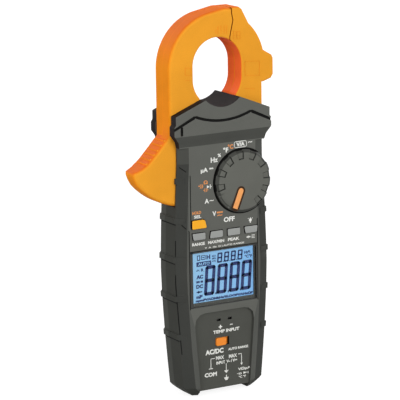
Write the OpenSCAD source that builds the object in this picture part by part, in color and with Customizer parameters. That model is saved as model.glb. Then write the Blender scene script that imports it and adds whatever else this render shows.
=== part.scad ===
// Clamp meter: a hand-held instrument with a hinged current clamp.
// X runs to the right, Y to the back and Z up towards the clamp.
// The origin lies on the plane of the foot end, on the centre line of the case.
// Y = 0 is the middle plane of the clamp.

/* [Case] */
// Half of the case width beside the display
case_half_w = 32.7; // [31:0.1:36]
// Half of the case width at the waist below the hand guard
waist_half_w = 30; // [29:0.1:31]
// Half of the case width at the foot end
foot_half_w = 27.2; // [26:0.1:29]
// Depth of the case in front of the clamp's middle plane
front_depth = 13; // [12.6:0.1:14]
// Depth of the case behind the clamp's middle plane
rear_depth = 18; // [18:0.1:21]
// Wall thickness of the case
wall = 2.2; // [1.8:0.1:2.6]
// Thickness of the soft grips on the sides
grip_t = 1.6; // [1.2:0.1:2]
// Height of each cross rib on the grips
rib_h = 3.4; // [2.5:0.1:4.5]
// Distance between cross ribs
rib_pitch = 24.4; // [22:0.1:26]

/* [Hand guard] */
// Half of the hand guard width
guard_half_w = 34.1; // [33.6:0.1:36]
// How far the guard stands proud of the front face
guard_proud = 1.7; // [1:0.1:3]

/* [Clamp] */
// Radius of the ends of the conductor window
window_r = 17; // [15:0.1:17.5]
// Height of the centre of the window's lower end above the jaw pivot
window_above = 30; // [29:0.1:32]
// Distance between the centres of the window's two ends
window_rise = 7.7; // [5:0.1:9]
// Radius of the clamp's outer edge
jaw_outer_r = 33.7; // [33.5:0.1:34]
// Thickness of the clamp, front to back
jaw_t = 17; // [16:0.1:17.2]
// Wall thickness of the clamp shells
jaw_wall = 2; // [1.6:0.1:2.4]
// Width of the magnetic core
core_w = 7.2; // [5:0.1:7.6]
// Thickness of the magnetic core, front to back
core_t = 8; // [6:0.1:9]
// Place of the jaw pivot across the case
pivot_x = -21; // [-22:0.1:-20]
// Height of the jaw pivot
pivot_z = 167; // [166:0.1:168]
// Radius of the pivot pin
pivot_r = 2.5; // [2:0.1:2.8]
// Radius of the trigger's lower edge about the pivot
trigger_r = 47.2; // [46:0.1:48.5]

/* [Selector] */
// Place of the selector knob across the case
dial_x = 13.6; // [12.8:0.1:14.2]
// Height of the selector knob's axis
dial_z = 132.7; // [132:0.1:134]
// Radius of the knob at its foot
knob_r = 19.7; // [18.5:0.1:20]
// Height of the knob above the front face
knob_h = 2.8; // [2.2:0.1:5]
// Radius of the selector shaft
shaft_r = 4; // [3:0.1:5]
// Angle of the pointer from straight down, at OFF
off_angle = 22.5; // [15:0.5:30]

/* [Buttons] */
// Width of a grey button
key_w = 8.8; // [8:0.1:9]
// Height of a grey button
key_h = 4.3; // [3.6:0.1:4.8]
// Height of the row of grey buttons
key_z = 101.5; // [101:0.1:102.2]
// Distance between grey buttons
key_pitch = 12.3; // [12:0.1:12.5]
// Travel of a button
key_travel = 0.8; // [0.5:0.1:0.8]
// How far a button stands proud
key_proud = 1; // [0.9:0.1:1.8]

/* [Display] */
// Half of the width of the viewing area
view_half_w = 22.2; // [20:0.1:22.2]
// Lower edge of the viewing area
view_low = 59.2; // [58.5:0.1:62]
// Upper edge of the viewing area
view_high = 90.9; // [86:0.1:91.2]
// Thickness of the display window
lens_t = 1.5; // [1:0.1:1.6]

/* [Inputs] */
// Distance between the two test lead jacks
jack_pitch = 22; // [20:0.1:24]
// Radius of the plug pin that a jack takes
jack_r = 2; // [1.9:0.05:2.2]
// Radius of the well round each jack
well_r = 5.6; // [5.2:0.1:6]
// Depth of the jack wells
well_depth = 18; // [14:0.1:18]
// Distance between the thermocouple slots
tc_pitch = 7.9; // [7:0.1:8.2]
// Height of the thermocouple slots
tc_z = 46.5; // [46:0.1:47]
// Length of the slider's slot
slot_len = 9.8; // [9.4:0.1:11]
// Length of the slider's knob
slide_len = 7; // [6:0.1:7.4]

/* [Batteries] */
// Radius of one battery
cell_r = 5.25; // [5:0.05:5.3]
// Length of one battery
cell_len = 44.5; // [43.5:0.1:45]
// Number of batteries
cell_count = 3; // [2:1:3]

/* [Hidden] */
$fn = 64;

case_dark = "#4b4b47";
grip_dark = "#454541";
jaw_orange = "#ec8a24";
key_grey = "#8e9098";

fit = 0.05;          // running fit between a pin and its bore, on the radius
gap = 0.3;           // clear distance between parts that move past each other
parting_y = 2;       // plane where the two case halves meet
jaw_half = jaw_t / 2;
guard_gap = 0.3;     // between a clamp face and the guard plate beside it

// section of the case
front_chamfer_w = 6.5;
front_chamfer_d = 3;
rear_chamfer_w = 8.5;
rear_chamfer_d = 10;
wide_z = 80;         // height of the widest section
waist_z = 147;       // height of the waist
foot_h = 6;          // height of the bevel at the foot end
foot_cut = 6.2;      // how far that bevel goes in
foot_lift = 3;       // the panel between the feet ends this far above them
foot_gap_w = 17.8;   // half of the width between the feet
guard_low = pivot_z - 10;
case_top = guard_low + 7;   // top of the hollow case, inside the hand guard
front_in_y = -front_depth + wall;
rear_in_y = rear_depth - wall;
inner_side = wall + grip_t;

function half_w(z) = z < wide_z
  ? case_half_w - (case_half_w - foot_half_w) * pow((wide_z - z) / wide_z, 1.5)
  : case_half_w - (case_half_w - waist_half_w) * pow(min(1, (z - wide_z) / (waist_z - wide_z)), 1.5);
function foot_inset(z) = z < foot_h ? foot_cut * pow(1 - z / foot_h, 1.25) : 0;

// one closed section at height z, drawn in by side_in, front_in and rear_in
function section(z, side_in, front_in, rear_in) =
  let (w = half_w(z) - foot_inset(z),
       yf = -front_depth + front_in + 0.4 * foot_inset(z),
       yr = rear_depth - rear_in - 0.7 * foot_inset(z),
       xa = w - front_chamfer_w - 0.5 * front_in,
       yb = yf + front_chamfer_d - 0.45 * front_in,
       yc = yr - rear_chamfer_d + 0.6 * rear_in,
       xd = w - rear_chamfer_w - 0.6 * rear_in,
       xs = w - side_in)
  [[xa, yf, z], [xs, yb, z], [xs, yc, z], [xd, yr, z],
   [-xd, yr, z], [-xs, yc, z], [-xs, yb, z], [-xa, yf, z]];

// a closed body through the sections at the given heights
module loft(levels, side_in, front_in, rear_in) {
  n = 8;
  rings = [for (z = levels) section(z, side_in, front_in, rear_in)];
  last = len(levels) - 1;
  polyhedron(
    points = [for (ring = rings) for (p = ring) p],
    faces = concat(
      [[for (i = [0:n - 1]) i]],
      [for (k = [0:last - 1]) for (i = [0:n - 1])
        let (j = (i + 1) % n) [k * n + i, (k + 1) * n + i, (k + 1) * n + j, k * n + j]],
      [[for (i = [n - 1:-1:0]) last * n + i]]),
    convexity = 4);
}

function levels_between(low, high) = concat(
  [low],
  [for (z = [1.5, 3, 4.5, foot_h, 12, 20, 30, 42, 54, 66, wide_z, 94, 108, 120, 130, 139, waist_z])
    if (z > low + 0.2 && z < high - 0.2) z],
  [high]);

// extrudes an outline drawn in the front view from y0 back to y1
module front_view(y0, y1) {
  translate([0, y1, 0]) rotate([90, 0, 0]) linear_extrude(y1 - y0) children();
}

// extrudes an outline drawn in the side view from x0 to x1
module side_view(x0, x1) {
  translate([x0, 0, 0]) rotate([90, 0, 90]) linear_extrude(x1 - x0) children();
}

module rod_y(r, y0, y1, x = 0, z = 0) {
  translate([x, y1, z]) rotate([90, 0, 0]) cylinder(r = r, h = y1 - y0);
}

module rod_z(r, z0, z1, x = 0, y = 0) {
  translate([x, y, z0]) cylinder(r = r, h = z1 - z0);
}

module block(x, y, z) {
  translate([x[0], y[0], z[0]]) cube([x[1] - x[0], y[1] - y[0], z[1] - z[0]]);
}

// ---- conductor window, hand guard and clamp outlines ----

window_low_z = pivot_z + window_above;
window_high_z = window_low_z + window_rise;
module window_outline(grow = 0) {
  for (z = [window_low_z, window_high_z]) translate([0, z]) circle(r = window_r + grow);
  translate([-window_r - grow, window_low_z]) square([2 * (window_r + grow), window_rise]);
}

guard_top = pivot_z + 9.8;
guard_notch_z = guard_low + 13.2;
guard_step = 1.1;    // the guard's upper part is narrower by this on each side
rim_x = 12.1;        // half of the cradle's width
rim_z = window_low_z - sqrt(window_r * window_r - rim_x * rim_x);
cradle_t = 2.4;
cradle_low = window_low_z - window_r - cradle_t;
guard_seat_y = jaw_half + guard_gap;
guard_front_y = -front_depth - guard_proud;
guard_rear_y = rear_depth - 2.5;
module guard_outline() {
  difference() {
    polygon([
      [-waist_half_w, guard_low], [-waist_half_w - 0.8, guard_low + 3.5],
      [-guard_half_w, guard_low + 8], [-guard_half_w, guard_notch_z],
      [-guard_half_w + guard_step, guard_notch_z + 1.6],
      [-guard_half_w + guard_step, guard_top], [-rim_x, rim_z], [rim_x, rim_z],
      [guard_half_w - guard_step, guard_top], [guard_half_w - guard_step, guard_notch_z + 1.6],
      [guard_half_w, guard_notch_z], [guard_half_w, guard_low + 8],
      [waist_half_w + 0.8, guard_low + 3.5], [waist_half_w, guard_low]]);
    window_outline();
  }
}

jaw_centre_z = window_low_z + 6.5;
split_x = 10.3;      // where the two jaws meet at the top
base_x = 12.6;       // inner edge of the moving jaw's foot inside the guard
tip_z = jaw_centre_z + 35.4;
fixed_half_w = 31.6;
fixed_low = pivot_z - 7;
module clamp_outline() {
  translate([0, jaw_centre_z]) circle(r = jaw_outer_r);
  translate([-jaw_outer_r, pivot_z]) square([jaw_outer_r, jaw_centre_z - pivot_z]);
  translate([0, fixed_low]) square([fixed_half_w, jaw_centre_z - fixed_low]);
}

module hook_outline() {
  translate([0, tip_z]) polygon([[2, -12.9], [-6.2, -2.3], [5.5, 0], [16, 0], [17.8, -1.3],
    [24.5, -13.9], [20, -23.9]]);
}

// a bump on the fixed jaw that a test probe clips beside
bump_low = jaw_centre_z - 12;
module bump_outline() {
  translate([0, bump_low]) polygon([[28, 25.5], [31, 20.3], [32.6, 19.8], [38.9, 16.1], [39.8, 14.1],
    [39.8, 4.1], [38.2, 1.7], [32.8, 0], [28, 0]]);
}

// the line where the two jaws meet, and everything to each side of it
clamp_z = [pivot_z - 67, tip_z + 11];   // a span that holds the whole clamp
split_line = [[split_x, clamp_z[1]], [split_x, tip_z - 0.5], [split_x + 0.9, tip_z - 7.7],
  [split_x - 1.5, tip_z - 17.9], [split_x - 1.5, jaw_centre_z - 3.5],
  [-base_x, jaw_centre_z - 11.5], [-base_x, clamp_z[0]]];
module moving_side() {
  polygon(concat([for (z = clamp_z) [-90, z]], split_line));
}

module fixed_side() {
  polygon(concat([for (z = clamp_z) [90, z]], [for (p = split_line) p + [gap, 0]]));
}

hub_r = 7;
arm_x = -14.5;
trigger_back_y = jaw_half - 2.5;
module trigger_outline() {
  translate([0, pivot_z]) intersection() {
    translate([pivot_x, 0]) circle(r = trigger_r);
    polygon([[-jaw_outer_r, 5], [-34.3, -3.2], [-38.2, -7.1], [-41, -10.2], [-43.7, -13],
      [-47.2, -16.6], [-50, -19], [-53.2, -20.9], [-56.8, -22], [-58.9, -22.8], [-59.2, -24.6],
      [-58.4, -27.4], [-56.3, -31.4], [-60, -50], [-60, -67], [-28.5, -67], [-28.5, -45],
      [arm_x, fixed_low - pivot_z], [arm_x, 5]]);
  }
}

// the trigger gets thinner towards its lower edge, on the back
thin_from_r = 36;
thin_slope = 2.2;    // the radius grows by this for each mm forward
module trigger() {
  run = trigger_back_y + jaw_half;
  intersection() {
    front_view(-jaw_half, trigger_back_y) trigger_outline();
    translate([pivot_x, trigger_back_y, pivot_z]) rotate([90, 0, 0])
      cylinder(r1 = thin_from_r, r2 = thin_from_r + thin_slope * run, h = run);
  }
}

fixed_foot_x = -9;   // inner edge of the fixed jaw's foot, clear of the swinging hub
module fixed_jaw_cuts() {
  window_outline();
  translate([-60, clamp_z[0]]) square([60 + fixed_foot_x, jaw_centre_z - 11.5 - clamp_z[0]]);
  intersection() {
    window_outline(cradle_t + 0.15);
    translate([-60, clamp_z[0]]) square([60 + rim_x + 0.4, window_low_z - 7 - clamp_z[0]]);
  }
  translate([fixed_half_w, clamp_z[0]]) square([10, bump_low - clamp_z[0]]);
}

// the ring of laminated core inside both jaws, and the coils wound on it
core_in = 3.8;       // from the window's edge to the core
coil_t = 1.3;        // thickness of a winding over the core
coil_span = [jaw_centre_z - 14.5, jaw_centre_z + 9.5];
module ring_outline(inner, outer) {
  difference() {
    window_outline(outer);
    window_outline(inner);
  }
}

module core_ring(grow = 0) {
  ring_outline(core_in - grow, core_in + core_w + grow);
}

module coil_area(grow) {
  intersection() {
    ring_outline(core_in - coil_t - grow, core_in + core_w + coil_t + grow);
    translate([-60, coil_span[0] - grow]) square([120, coil_span[1] - coil_span[0] + 2 * grow]);
  }
}

module core_and_coil_pocket() {
  core_half = core_t / 2 + 0.1;
  coil_half = core_t / 2 + coil_t + 0.15;
  front_view(-core_half, core_half) core_ring(0.1);
  front_view(-coil_half, coil_half) coil_area(0.15);
}

// ---- case ----

key_mid_x = 0.85;    // middle of the row of grey buttons
// inner edge of a grip beside the display, clear of the last grey button
rail_x = key_mid_x + 1.5 * key_pitch + key_w / 2 + 0.5;
grip_top = 145.2;
panel_sink = 1.8;
panel_face_y = -front_depth + panel_sink;
panel_in_y = panel_face_y + 2;
panel_side = [[foot_gap_w - 0.2, -2], [foot_gap_w, foot_lift], [21.2, 45]];
module lower_panel() {
  polygon(concat(
    panel_side, [[20.4, 49], [17.5, 51.8], [14, 52.6]],
    [[-14, 52.6], [-17.5, 51.8], [-20.4, 49]],
    [for (i = [2:-1:0]) [-panel_side[i][0], panel_side[i][1]]]));
}

module grip_area() {
  polygon(concat([[60, -2]], panel_side, [[rail_x, 56], [rail_x, 140.4], [28.6, grip_top],
    [60, grip_top]]));
}

// the room that the right grip takes from the case
grip_bed_front = 0.8;
module grip_zone(y_back) {
  difference() {
    front_view(-front_depth - 3, y_back) grip_area();
    loft(levels_between(foot_lift, case_top - 1), grip_t, grip_bed_front, 0);
  }
}

rib_low = 39;
rib_proud = 0.9;
rib_in_x = 26.8;
module side_ribs(y0, y1) {
  intersection() {
    for (i = [0:4]) {
      z = rib_low + i * rib_pitch;
      difference() {
        loft([z - rib_h / 2, z + rib_h / 2], -rib_proud, -0.3, -0.3);
        loft([z - rib_h / 2 - 1, z + rib_h / 2 + 1], 0.8, 0.4, 0.4);
      }
    }
    for (side = [-1, 1]) {
      block(side > 0 ? [rib_in_x, 45] : [-45, -rib_in_x], [y0, y1], [0, 150]);
    }
  }
}

// the way through the left side for the trigger
module trigger_slot() {
  intersection() {
    rod_y(trigger_r + 0.5, -guard_seat_y, guard_seat_y, pivot_x, pivot_z);
    block([-80, fixed_foot_x - 1.5], [-40, 40], [clamp_z[0], pivot_z + 33]);
  }
}

// room for the clamp between the guard plates, beside the cradle
floor_z = fixed_low - gap;
module clamp_room() {
  difference() {
    block([-60, fixed_half_w + 0.2], [-guard_seat_y, guard_seat_y], [floor_z, clamp_z[1]]);
    block([-rim_x, rim_x], [-40, 40], [cradle_low, window_low_z - 7]);
  }
  trigger_slot();
}

// the cradle's curved wall and the closed right side of the guard
module guard_walls(y0, y1) {
  front_view(y0, y1) {
    intersection() {
      ring_outline(0, cradle_t);
      guard_outline();
      translate([-rim_x, cradle_low - 20]) square([2 * rim_x, 30]);
    }
    intersection() {
      guard_outline();
      translate([fixed_half_w + 0.2, floor_z]) square([10, 20]);
    }
  }
}

// floor below the fixed jaw
module clamp_floor(y0, y1) {
  block([fixed_foot_x + 0.5, waist_half_w - inner_side + 0.5], [y0, y1], [floor_z - 2.2, floor_z]);
}

// pegs that hold the fixed jaw: [x, z]
peg_places = [[20, pivot_z - 2], [-3, pivot_z - 2]];
peg_r = 2.5;

// screws through the rear half into bosses of the front half: [x, z]
screw_places = [[-16, 33], [16, 33], [-7.6, 114], [21, 110], [22, guard_low - 3.5]];
screw_r = 1.45;
screw_head_r = 2.8;
boss_r = 3.4;
screw_seat_y = 11;

// display window
lens_side = 1.2;
lens_low = 2.2;
lens_half_w = view_half_w + lens_side;
lens_z = [view_low - lens_low, view_high + lens_side];
pocket_gap = 0.15;

// inputs
slot_z = 32.6;
slot_h = 5.2;
slot_mid_x = -0.9;
tc_x = 0.7;
tc_slot = [2.9, 1.5];
jack_y = 0;
jack_x = jack_pitch / 2;

// grey buttons: each leans to one side or the other, as its place in the row asks
key_lean = 0.8;
lean_left = [1, -1, 0, 1];
lean_right = [0, 0, 0, -0.6];
key_gap = 0.3;
function key_x(i) = (i - 1.5) * key_pitch + key_mid_x;
function key_points(i, grow) =
  let (w = key_w / 2 + grow, h = key_h / 2 + grow, a = key_lean / 2)
  [[-w - a * lean_left[i], h], [w - a * lean_right[i], h],
   [w + a * lean_right[i], -h], [-w + a * lean_left[i], -h]];

// the select button stands above the first grey one
select_x = -17.4;
select_z = key_z + 7.6;
function select_points(grow) =
  let (w = 5 + grow, h = 2.7 + grow)
  [[-w, h], [w - 2.2, h], [w - 1, h - 0.6], [w, -h + 1.2], [w, -h], [-w, -h]];
key_flange = 0.7;
flange_t = 1;

// selector
dial_sink = 1.2;
dial_gap = 0.9;
dial_floor_y = -front_depth + dial_sink;
dial_wall_y = -9.9;  // inner face of the thickened wall behind the knob
rotor_t = 1.25;
rotor_r = 11.2;

// circuit board
board_y = -7.6;      // its front face
board_t = 1.6;
board_back_y = board_y + board_t;

module case_half_shell() {
  difference() {
    loft(levels_between(0, case_top), 0, 0, 0);
    loft(levels_between(wall + foot_lift, case_top - wall), inner_side, wall, wall);
    block([-foot_gap_w, foot_gap_w], [-20, 40], [-1, foot_lift]);
  }
}

// bat-wing groove across the front of the guard
groove_d = 0.9;
groove_w = 1.7;
groove_peak = [20.7, pivot_z + 9.2];
groove_r = 52;
groove_end_x = -29;
module guard_groove() {
  front_view(guard_front_y - 1, guard_front_y + groove_d) {
    translate([groove_end_x - groove_w / 2, pivot_z - 2.1]) square([groove_w, 5.5]);
    for (side = [-1, 1]) {
      polygon([[side * 36, pivot_z + 0.2], [side * 36, pivot_z + 2],
        [side * groove_peak[0], groove_peak[1]],
        [side * (groove_peak[0] - 1), groove_peak[1] - groove_w]]);
    }
    intersection() {
      translate([0, pivot_z + 4 + groove_r]) difference() {
        circle(r = groove_r);
        circle(r = groove_r - groove_w);
      }
      translate([-groove_peak[0], pivot_z]) square([2 * groove_peak[0], 9.2]);
    }
  }
}

// the guard's front slopes back to the waist below it
module shoulder_cut() {
  side_view(-60, 60) translate([0, guard_low]) polygon([[-30, -17], [-front_depth, -17],
    [-front_depth, 0.5], [guard_front_y, 7.4], [-30, 7.4]]);
}

module front_openings() {
  block([-view_half_w, view_half_w], [-20, 0], [view_low, view_high]);
  block([-lens_half_w - pocket_gap, lens_half_w + pocket_gap],
    [-20, -front_depth + lens_t + pocket_gap], [lens_z[0] - pocket_gap, lens_z[1] + pocket_gap]);
  for (i = [0:3]) {
    translate([key_x(i), 0, key_z]) front_view(-20, front_in_y + 1) polygon(key_points(i, key_gap));
  }
  translate([select_x, 0, select_z]) front_view(-20, front_in_y + 1) polygon(select_points(key_gap));
  rod_y(knob_r + dial_gap, -20, dial_floor_y, dial_x, dial_z);
  rod_y(shaft_r + fit, -20, 0, dial_x, dial_z);
  front_view(-20, panel_face_y) lower_panel();
  for (side = [-1, 1]) {
    block([tc_x + side * tc_pitch / 2 - tc_slot[0] / 2, tc_x + side * tc_pitch / 2 + tc_slot[0] / 2],
      [-20, 0], [tc_z - tc_slot[1] / 2, tc_z + tc_slot[1] / 2]);
  }
  block([slot_mid_x - slot_len / 2, slot_mid_x + slot_len / 2], [-20, 0],
    [slot_z - slot_h / 2, slot_z + slot_h / 2]);
}

module jack_ways() {
  for (side = [-1, 1]) rod_z(well_r, -1, wall + foot_lift + 2, side * jack_x, jack_y);
}

module front_case() {
  color(case_dark) difference() {
    union() {
      difference() {
        case_half_shell();
        block([-60, 60], [parting_y, 40], [-1, 300]);
        for (side = [0, 1]) mirror([side, 0, 0]) grip_zone(parting_y + 1);
      }
      // thicker walls behind the lower panel and the knob
      intersection() {
        front_view(panel_face_y - 0.5, panel_in_y) lower_panel();
        loft(levels_between(foot_lift + 1, 60), inner_side - 0.5, wall - 0.5, wall);
      }
      rod_y(rotor_r, -front_depth + 0.5, dial_wall_y, dial_x, dial_z);
      for (p = screw_places) rod_y(boss_r, front_in_y - 0.5, parting_y, p[0], p[1]);
      clamp_floor(front_in_y - 0.5, parting_y);
      difference() {
        front_view(guard_front_y, -guard_seat_y) guard_outline();
        shoulder_cut();
      }
      guard_walls(-front_depth, parting_y);
    }
    front_openings();
    jack_ways();
    clamp_room();
    guard_groove();
    for (p = screw_places) rod_y(screw_r + fit, -8.6, parting_y + 1, p[0], p[1]);
    rod_y(pivot_r + fit, -12, 0, pivot_x, pivot_z);
  }
  color(case_dark) for (p = peg_places) rod_y(peg_r, -guard_seat_y - 1, -gap / 2, p[0], p[1]);
}

// ---- battery bay ----

cell_pitch = 2 * cell_r + 0.7;
bay_half_w = cell_count * cell_pitch / 2 + 0.4;
bay_low = 41.5;
bay_high = bay_low + cell_len + 5;
bay_floor_y = parting_y + 1.2;
bay_wall = 1.5;
cell_y = bay_floor_y + cell_r + 0.1;
door_half_w = bay_half_w + 2.8;
door_z = [bay_low - 3.5, bay_high + 8];
door_t = 1.95;
door_y = rear_depth - door_t;
seat_y = door_y - 0.65;       // ledge that the door's seal lies on
door_screw_z = bay_high + 5;
door_screw_r = 1.25;
door_gap = 0.25;

module bay_outside() {
  block([-bay_half_w - bay_wall, bay_half_w + bay_wall], [parting_y, seat_y],
    [bay_low - bay_wall, bay_high + bay_wall]);
  block([-door_half_w - 1.5, door_half_w + 1.5], [seat_y - 1.8, seat_y],
    [door_z[0] - 1.5, door_z[1] + 1.5]);
  block([-5, 5], [seat_y - 9, seat_y], [bay_high + 0.5, door_z[1] + 1]);
}

module rear_case() {
  color(case_dark) difference() {
    union() {
      difference() {
        case_half_shell();
        block([-60, 60], [-40, parting_y], [-1, 300]);
        block([-door_half_w - door_gap, door_half_w + door_gap], [seat_y, 40],
          [door_z[0] - door_gap, door_z[1] + door_gap]);
      }
      side_ribs(parting_y, 12);
      bay_outside();
      for (p = screw_places) rod_y(boss_r, parting_y, rear_in_y + 0.5, p[0], p[1]);
      clamp_floor(parting_y, rear_in_y + 0.5);
      front_view(guard_seat_y, guard_rear_y) guard_outline();
      guard_walls(parting_y, guard_rear_y);
    }
    block([-bay_half_w, bay_half_w], [bay_floor_y, 40], [bay_low, bay_high]);
    rod_y(door_screw_r + fit, seat_y - 8, seat_y + 1, 0, door_screw_z);
    jack_ways();
    clamp_room();
    for (p = screw_places) {
      rod_y(screw_r + 0.25, parting_y - 1, screw_seat_y + 1, p[0], p[1]);
      rod_y(screw_head_r + 0.3, screw_seat_y, 30, p[0], p[1]);
    }
    rod_y(pivot_r + fit, 0, 12, pivot_x, pivot_z);
  }
  color(case_dark) for (p = peg_places) rod_y(peg_r, gap / 2, guard_seat_y + 1, p[0], p[1]);
}

module right_grip() {
  intersection() {
    difference() {
      loft(levels_between(0, grip_top), 0, 0, 0);
      loft(levels_between(foot_lift, case_top - 1), grip_t, grip_bed_front, 0);
    }
    front_view(-front_depth - 3, parting_y) grip_area();
  }
  intersection() {
    side_ribs(-front_depth, parting_y);
    block([0, 60], [-40, 40], [0, 150]);
  }
}

module front_grip_right() {
  color(grip_dark) difference() {
    right_grip();
    rod_y(knob_r + dial_gap, -20, dial_floor_y, dial_x, dial_z);
  }
}

module front_grip_left() {
  color(grip_dark) difference() {
    mirror([1, 0, 0]) right_grip();
    trigger_slot();
  }
}

module battery_door() {
  color(case_dark) difference() {
    block([-door_half_w, door_half_w], [door_y, rear_depth], door_z);
    rod_y(door_screw_r + 0.25, door_y - 1, rear_depth, 0, door_screw_z);
    rod_y(screw_head_r + 0.2, rear_depth - 1.2, rear_depth + 1, 0, door_screw_z);
  }
}

module door_screw() {
  color("silver") difference() {
    union() {
      rod_y(door_screw_r, seat_y - 7.5, rear_depth - 1, 0, door_screw_z);
      rod_y(screw_head_r, rear_depth - 1.15, rear_depth - 0.1, 0, door_screw_z);
    }
    block([-0.4, 0.4], [rear_depth - 0.7, rear_depth], [door_screw_z - 2, door_screw_z + 2]);
    block([-2, 2], [rear_depth - 0.7, rear_depth], [door_screw_z - 0.4, door_screw_z + 0.4]);
  }
}

module door_seal() {
  color("dimgray") difference() {
    block([-bay_half_w - 2.2, bay_half_w + 2.2], [seat_y + 0.02, door_y - 0.03],
      [bay_low - 2.6, bay_high + 1.8]);
    block([-bay_half_w - 0.6, bay_half_w + 0.6], [0, 40], [bay_low - 0.8, bay_high + 0.2]);
  }
}

function cell_x(i) = (i - (cell_count - 1) / 2) * cell_pitch;
spring_h = 2.4;      // room for the contact spring below a battery
module batteries() {
  color("darkgoldenrod") for (i = [0:cell_count - 1]) {
    rod_z(cell_r, bay_low + spring_h + 0.1, bay_low + spring_h + cell_len - 0.8, cell_x(i), cell_y);
    rod_z(1.9, bay_low + spring_h + 1, bay_low + spring_h + cell_len, cell_x(i), cell_y);
  }
}

module battery_contacts() {
  plate_t = 0.4;
  color("silver") for (i = [0:cell_count - 1]) {
    x = cell_x(i);
    translate([x, cell_y, 0]) {
      block([-4, 4], [-4, 4], [bay_low + 0.02, bay_low + plate_t]);
      rod_z(2.8, bay_low + plate_t - 0.1, bay_low + 1.3);
      rod_z(1.9, bay_low + 1.2, bay_low + spring_h + 0.05);
      block([-4, 4], [-4, 4], [bay_high - plate_t, bay_high - 0.02]);
      rod_z(1.5, bay_low + spring_h + cell_len + 0.05, bay_high - plate_t + 0.1);
    }
  }
}

module case_screws() {
  color("silver") for (p = screw_places) {
    rod_y(screw_r, -8, screw_seat_y + 0.5, p[0], p[1]);
    rod_y(screw_head_r, screw_seat_y + 0.02, screw_seat_y + 1.8, p[0], p[1]);
  }
}

// ---- display ----

module display_window() {
  color("lightblue", 0.6)
    block([-lens_half_w, lens_half_w], [-front_depth, -front_depth + lens_t], lens_z);
}

glass_edge = 3;      // how far the glass reaches beyond the viewing area, above and below
glass_half_w = view_half_w + 1.6;
glass_z = [view_low - glass_edge, view_high + glass_edge];
glass_y = [front_in_y + fit, front_in_y + 1.55];
light_z = [view_low - 0.8, view_high + 0.8];
module display_glass() {
  color("lightsteelblue") block([-glass_half_w, glass_half_w], glass_y, glass_z);
}

module display_backlight() {
  color("white") block([-glass_half_w, glass_half_w], [glass_y[1] + 0.03, board_y - 0.03], light_z);
}

module contact_strips() {
  color("pink") for (z = [[glass_z[0] + 0.1, light_z[0] - 0.1], [light_z[1] + 0.1, glass_z[1] - 0.1]]) {
    block([-view_half_w, view_half_w], [glass_y[1] + 0.03, board_y - 0.03], z);
  }
}

module display_frame() {
  color("whitesmoke") difference() {
    block([-glass_half_w - 1.3, glass_half_w + 1.3], [front_in_y + 1.2, board_y - 0.02],
      [glass_z[0] - 1.5, glass_z[1] + 1.5]);
    block([-glass_half_w - 0.1, glass_half_w + 0.1], [-20, 0], [glass_z[0] - 0.1, glass_z[1] + 0.1]);
  }
}

// ---- buttons ----

module grey_key(i) {
  color(key_grey) translate([key_x(i), 0, key_z]) {
    front_view(-front_depth - key_proud, front_in_y + flange_t) polygon(key_points(i, 0));
    front_view(front_in_y + fit, front_in_y + flange_t + fit) polygon(key_points(i, key_flange));
  }
}

module range_button() { grey_key(0); }
module max_min_button() { grey_key(1); }
module peak_button() { grey_key(2); }
module light_button() { grey_key(3); }

module select_button() {
  color("orange") translate([select_x, 0, select_z]) {
    front_view(-front_depth - key_proud, front_in_y + flange_t) polygon(select_points(0));
    front_view(front_in_y + fit, front_in_y + flange_t + fit) polygon(select_points(key_flange));
  }
}

mat_t = 0.5;
dome_y = front_in_y + flange_t + fit + key_travel + 0.05;
module key_mat() {
  color("gainsboro") {
    block([key_x(0) - 6, key_x(3) + 5], [board_y - mat_t - 0.02, board_y - 0.02],
      [key_z - 4, key_z + 4]);
    block([select_x - 6, select_x + 5.6], [board_y - mat_t - 0.02, board_y - 0.02],
      [key_z + 3.5, select_z + 4]);
    for (i = [0:3]) rod_y(2.2, dome_y, board_y - 0.1, key_x(i), key_z);
    rod_y(2.2, dome_y, board_y - 0.1, select_x, select_z);
  }
}

// ---- selector ----

notch_step = 30;
module selector_knob() {
  foot_y = dial_floor_y - 0.15;
  face_y = -front_depth - knob_h;
  notch_in = 4.2;
  notch_w = 4.6;
  color(case_dark) difference() {
    union() {
      rod_y(knob_r, foot_y - 2.2, foot_y, dial_x, dial_z);
      translate([dial_x, foot_y - 2.2, dial_z]) rotate([90, 0, 0])
        cylinder(r1 = knob_r, r2 = knob_r - 1.4, h = foot_y - 2.2 - face_y);
    }
    rod_y(shaft_r + 0.02, face_y + 1.8, 0, dial_x, dial_z);
    for (k = [2:10]) {
      translate([dial_x, 0, dial_z]) rotate([0, k * notch_step + off_angle, 0])
        block([-notch_w / 2, notch_w / 2], [face_y - 1, face_y + 1.3], [-knob_r - 2, -knob_r + 1.4 + notch_in]);
    }
    pointer_at(face_y - 1, face_y + 1, 0.1);
  }
}

pointer_w = 3.4;
pointer_in = 4.6;
module pointer_at(y0, y1, grow) {
  translate([dial_x, 0, dial_z]) rotate([0, off_angle, 0]) {
    rod_y(pointer_w / 2 + grow, y0, y1, 0, -pointer_in - pointer_w / 2);
    block([-pointer_w / 2 - grow, pointer_w / 2 + grow], [y0, y1],
      [-knob_r + 2 - grow, -pointer_in - pointer_w / 2]);
  }
}

module selector_pointer() {
  color("sandybrown") pointer_at(-front_depth - knob_h - 0.3, -front_depth - knob_h + 0.95, 0);
}

module selector_rotor() {
  disc_y = dial_wall_y + fit;
  color("ivory") {
    rod_y(shaft_r, -front_depth - knob_h + 1.85, disc_y + rotor_t, dial_x, dial_z);
    rod_y(rotor_r, disc_y, disc_y + rotor_t, dial_x, dial_z);
  }
}

module rotor_wipers() {
  wiper_y = dial_wall_y + fit + rotor_t;
  color("goldenrod") for (k = [0:2]) {
    translate([dial_x, 0, dial_z]) rotate([0, k * 120, 0])
      block([-1, 1], [wiper_y, board_y - 0.05], [rotor_r - 5, rotor_r - 0.7]);
  }
}

// ---- inputs ----

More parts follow.
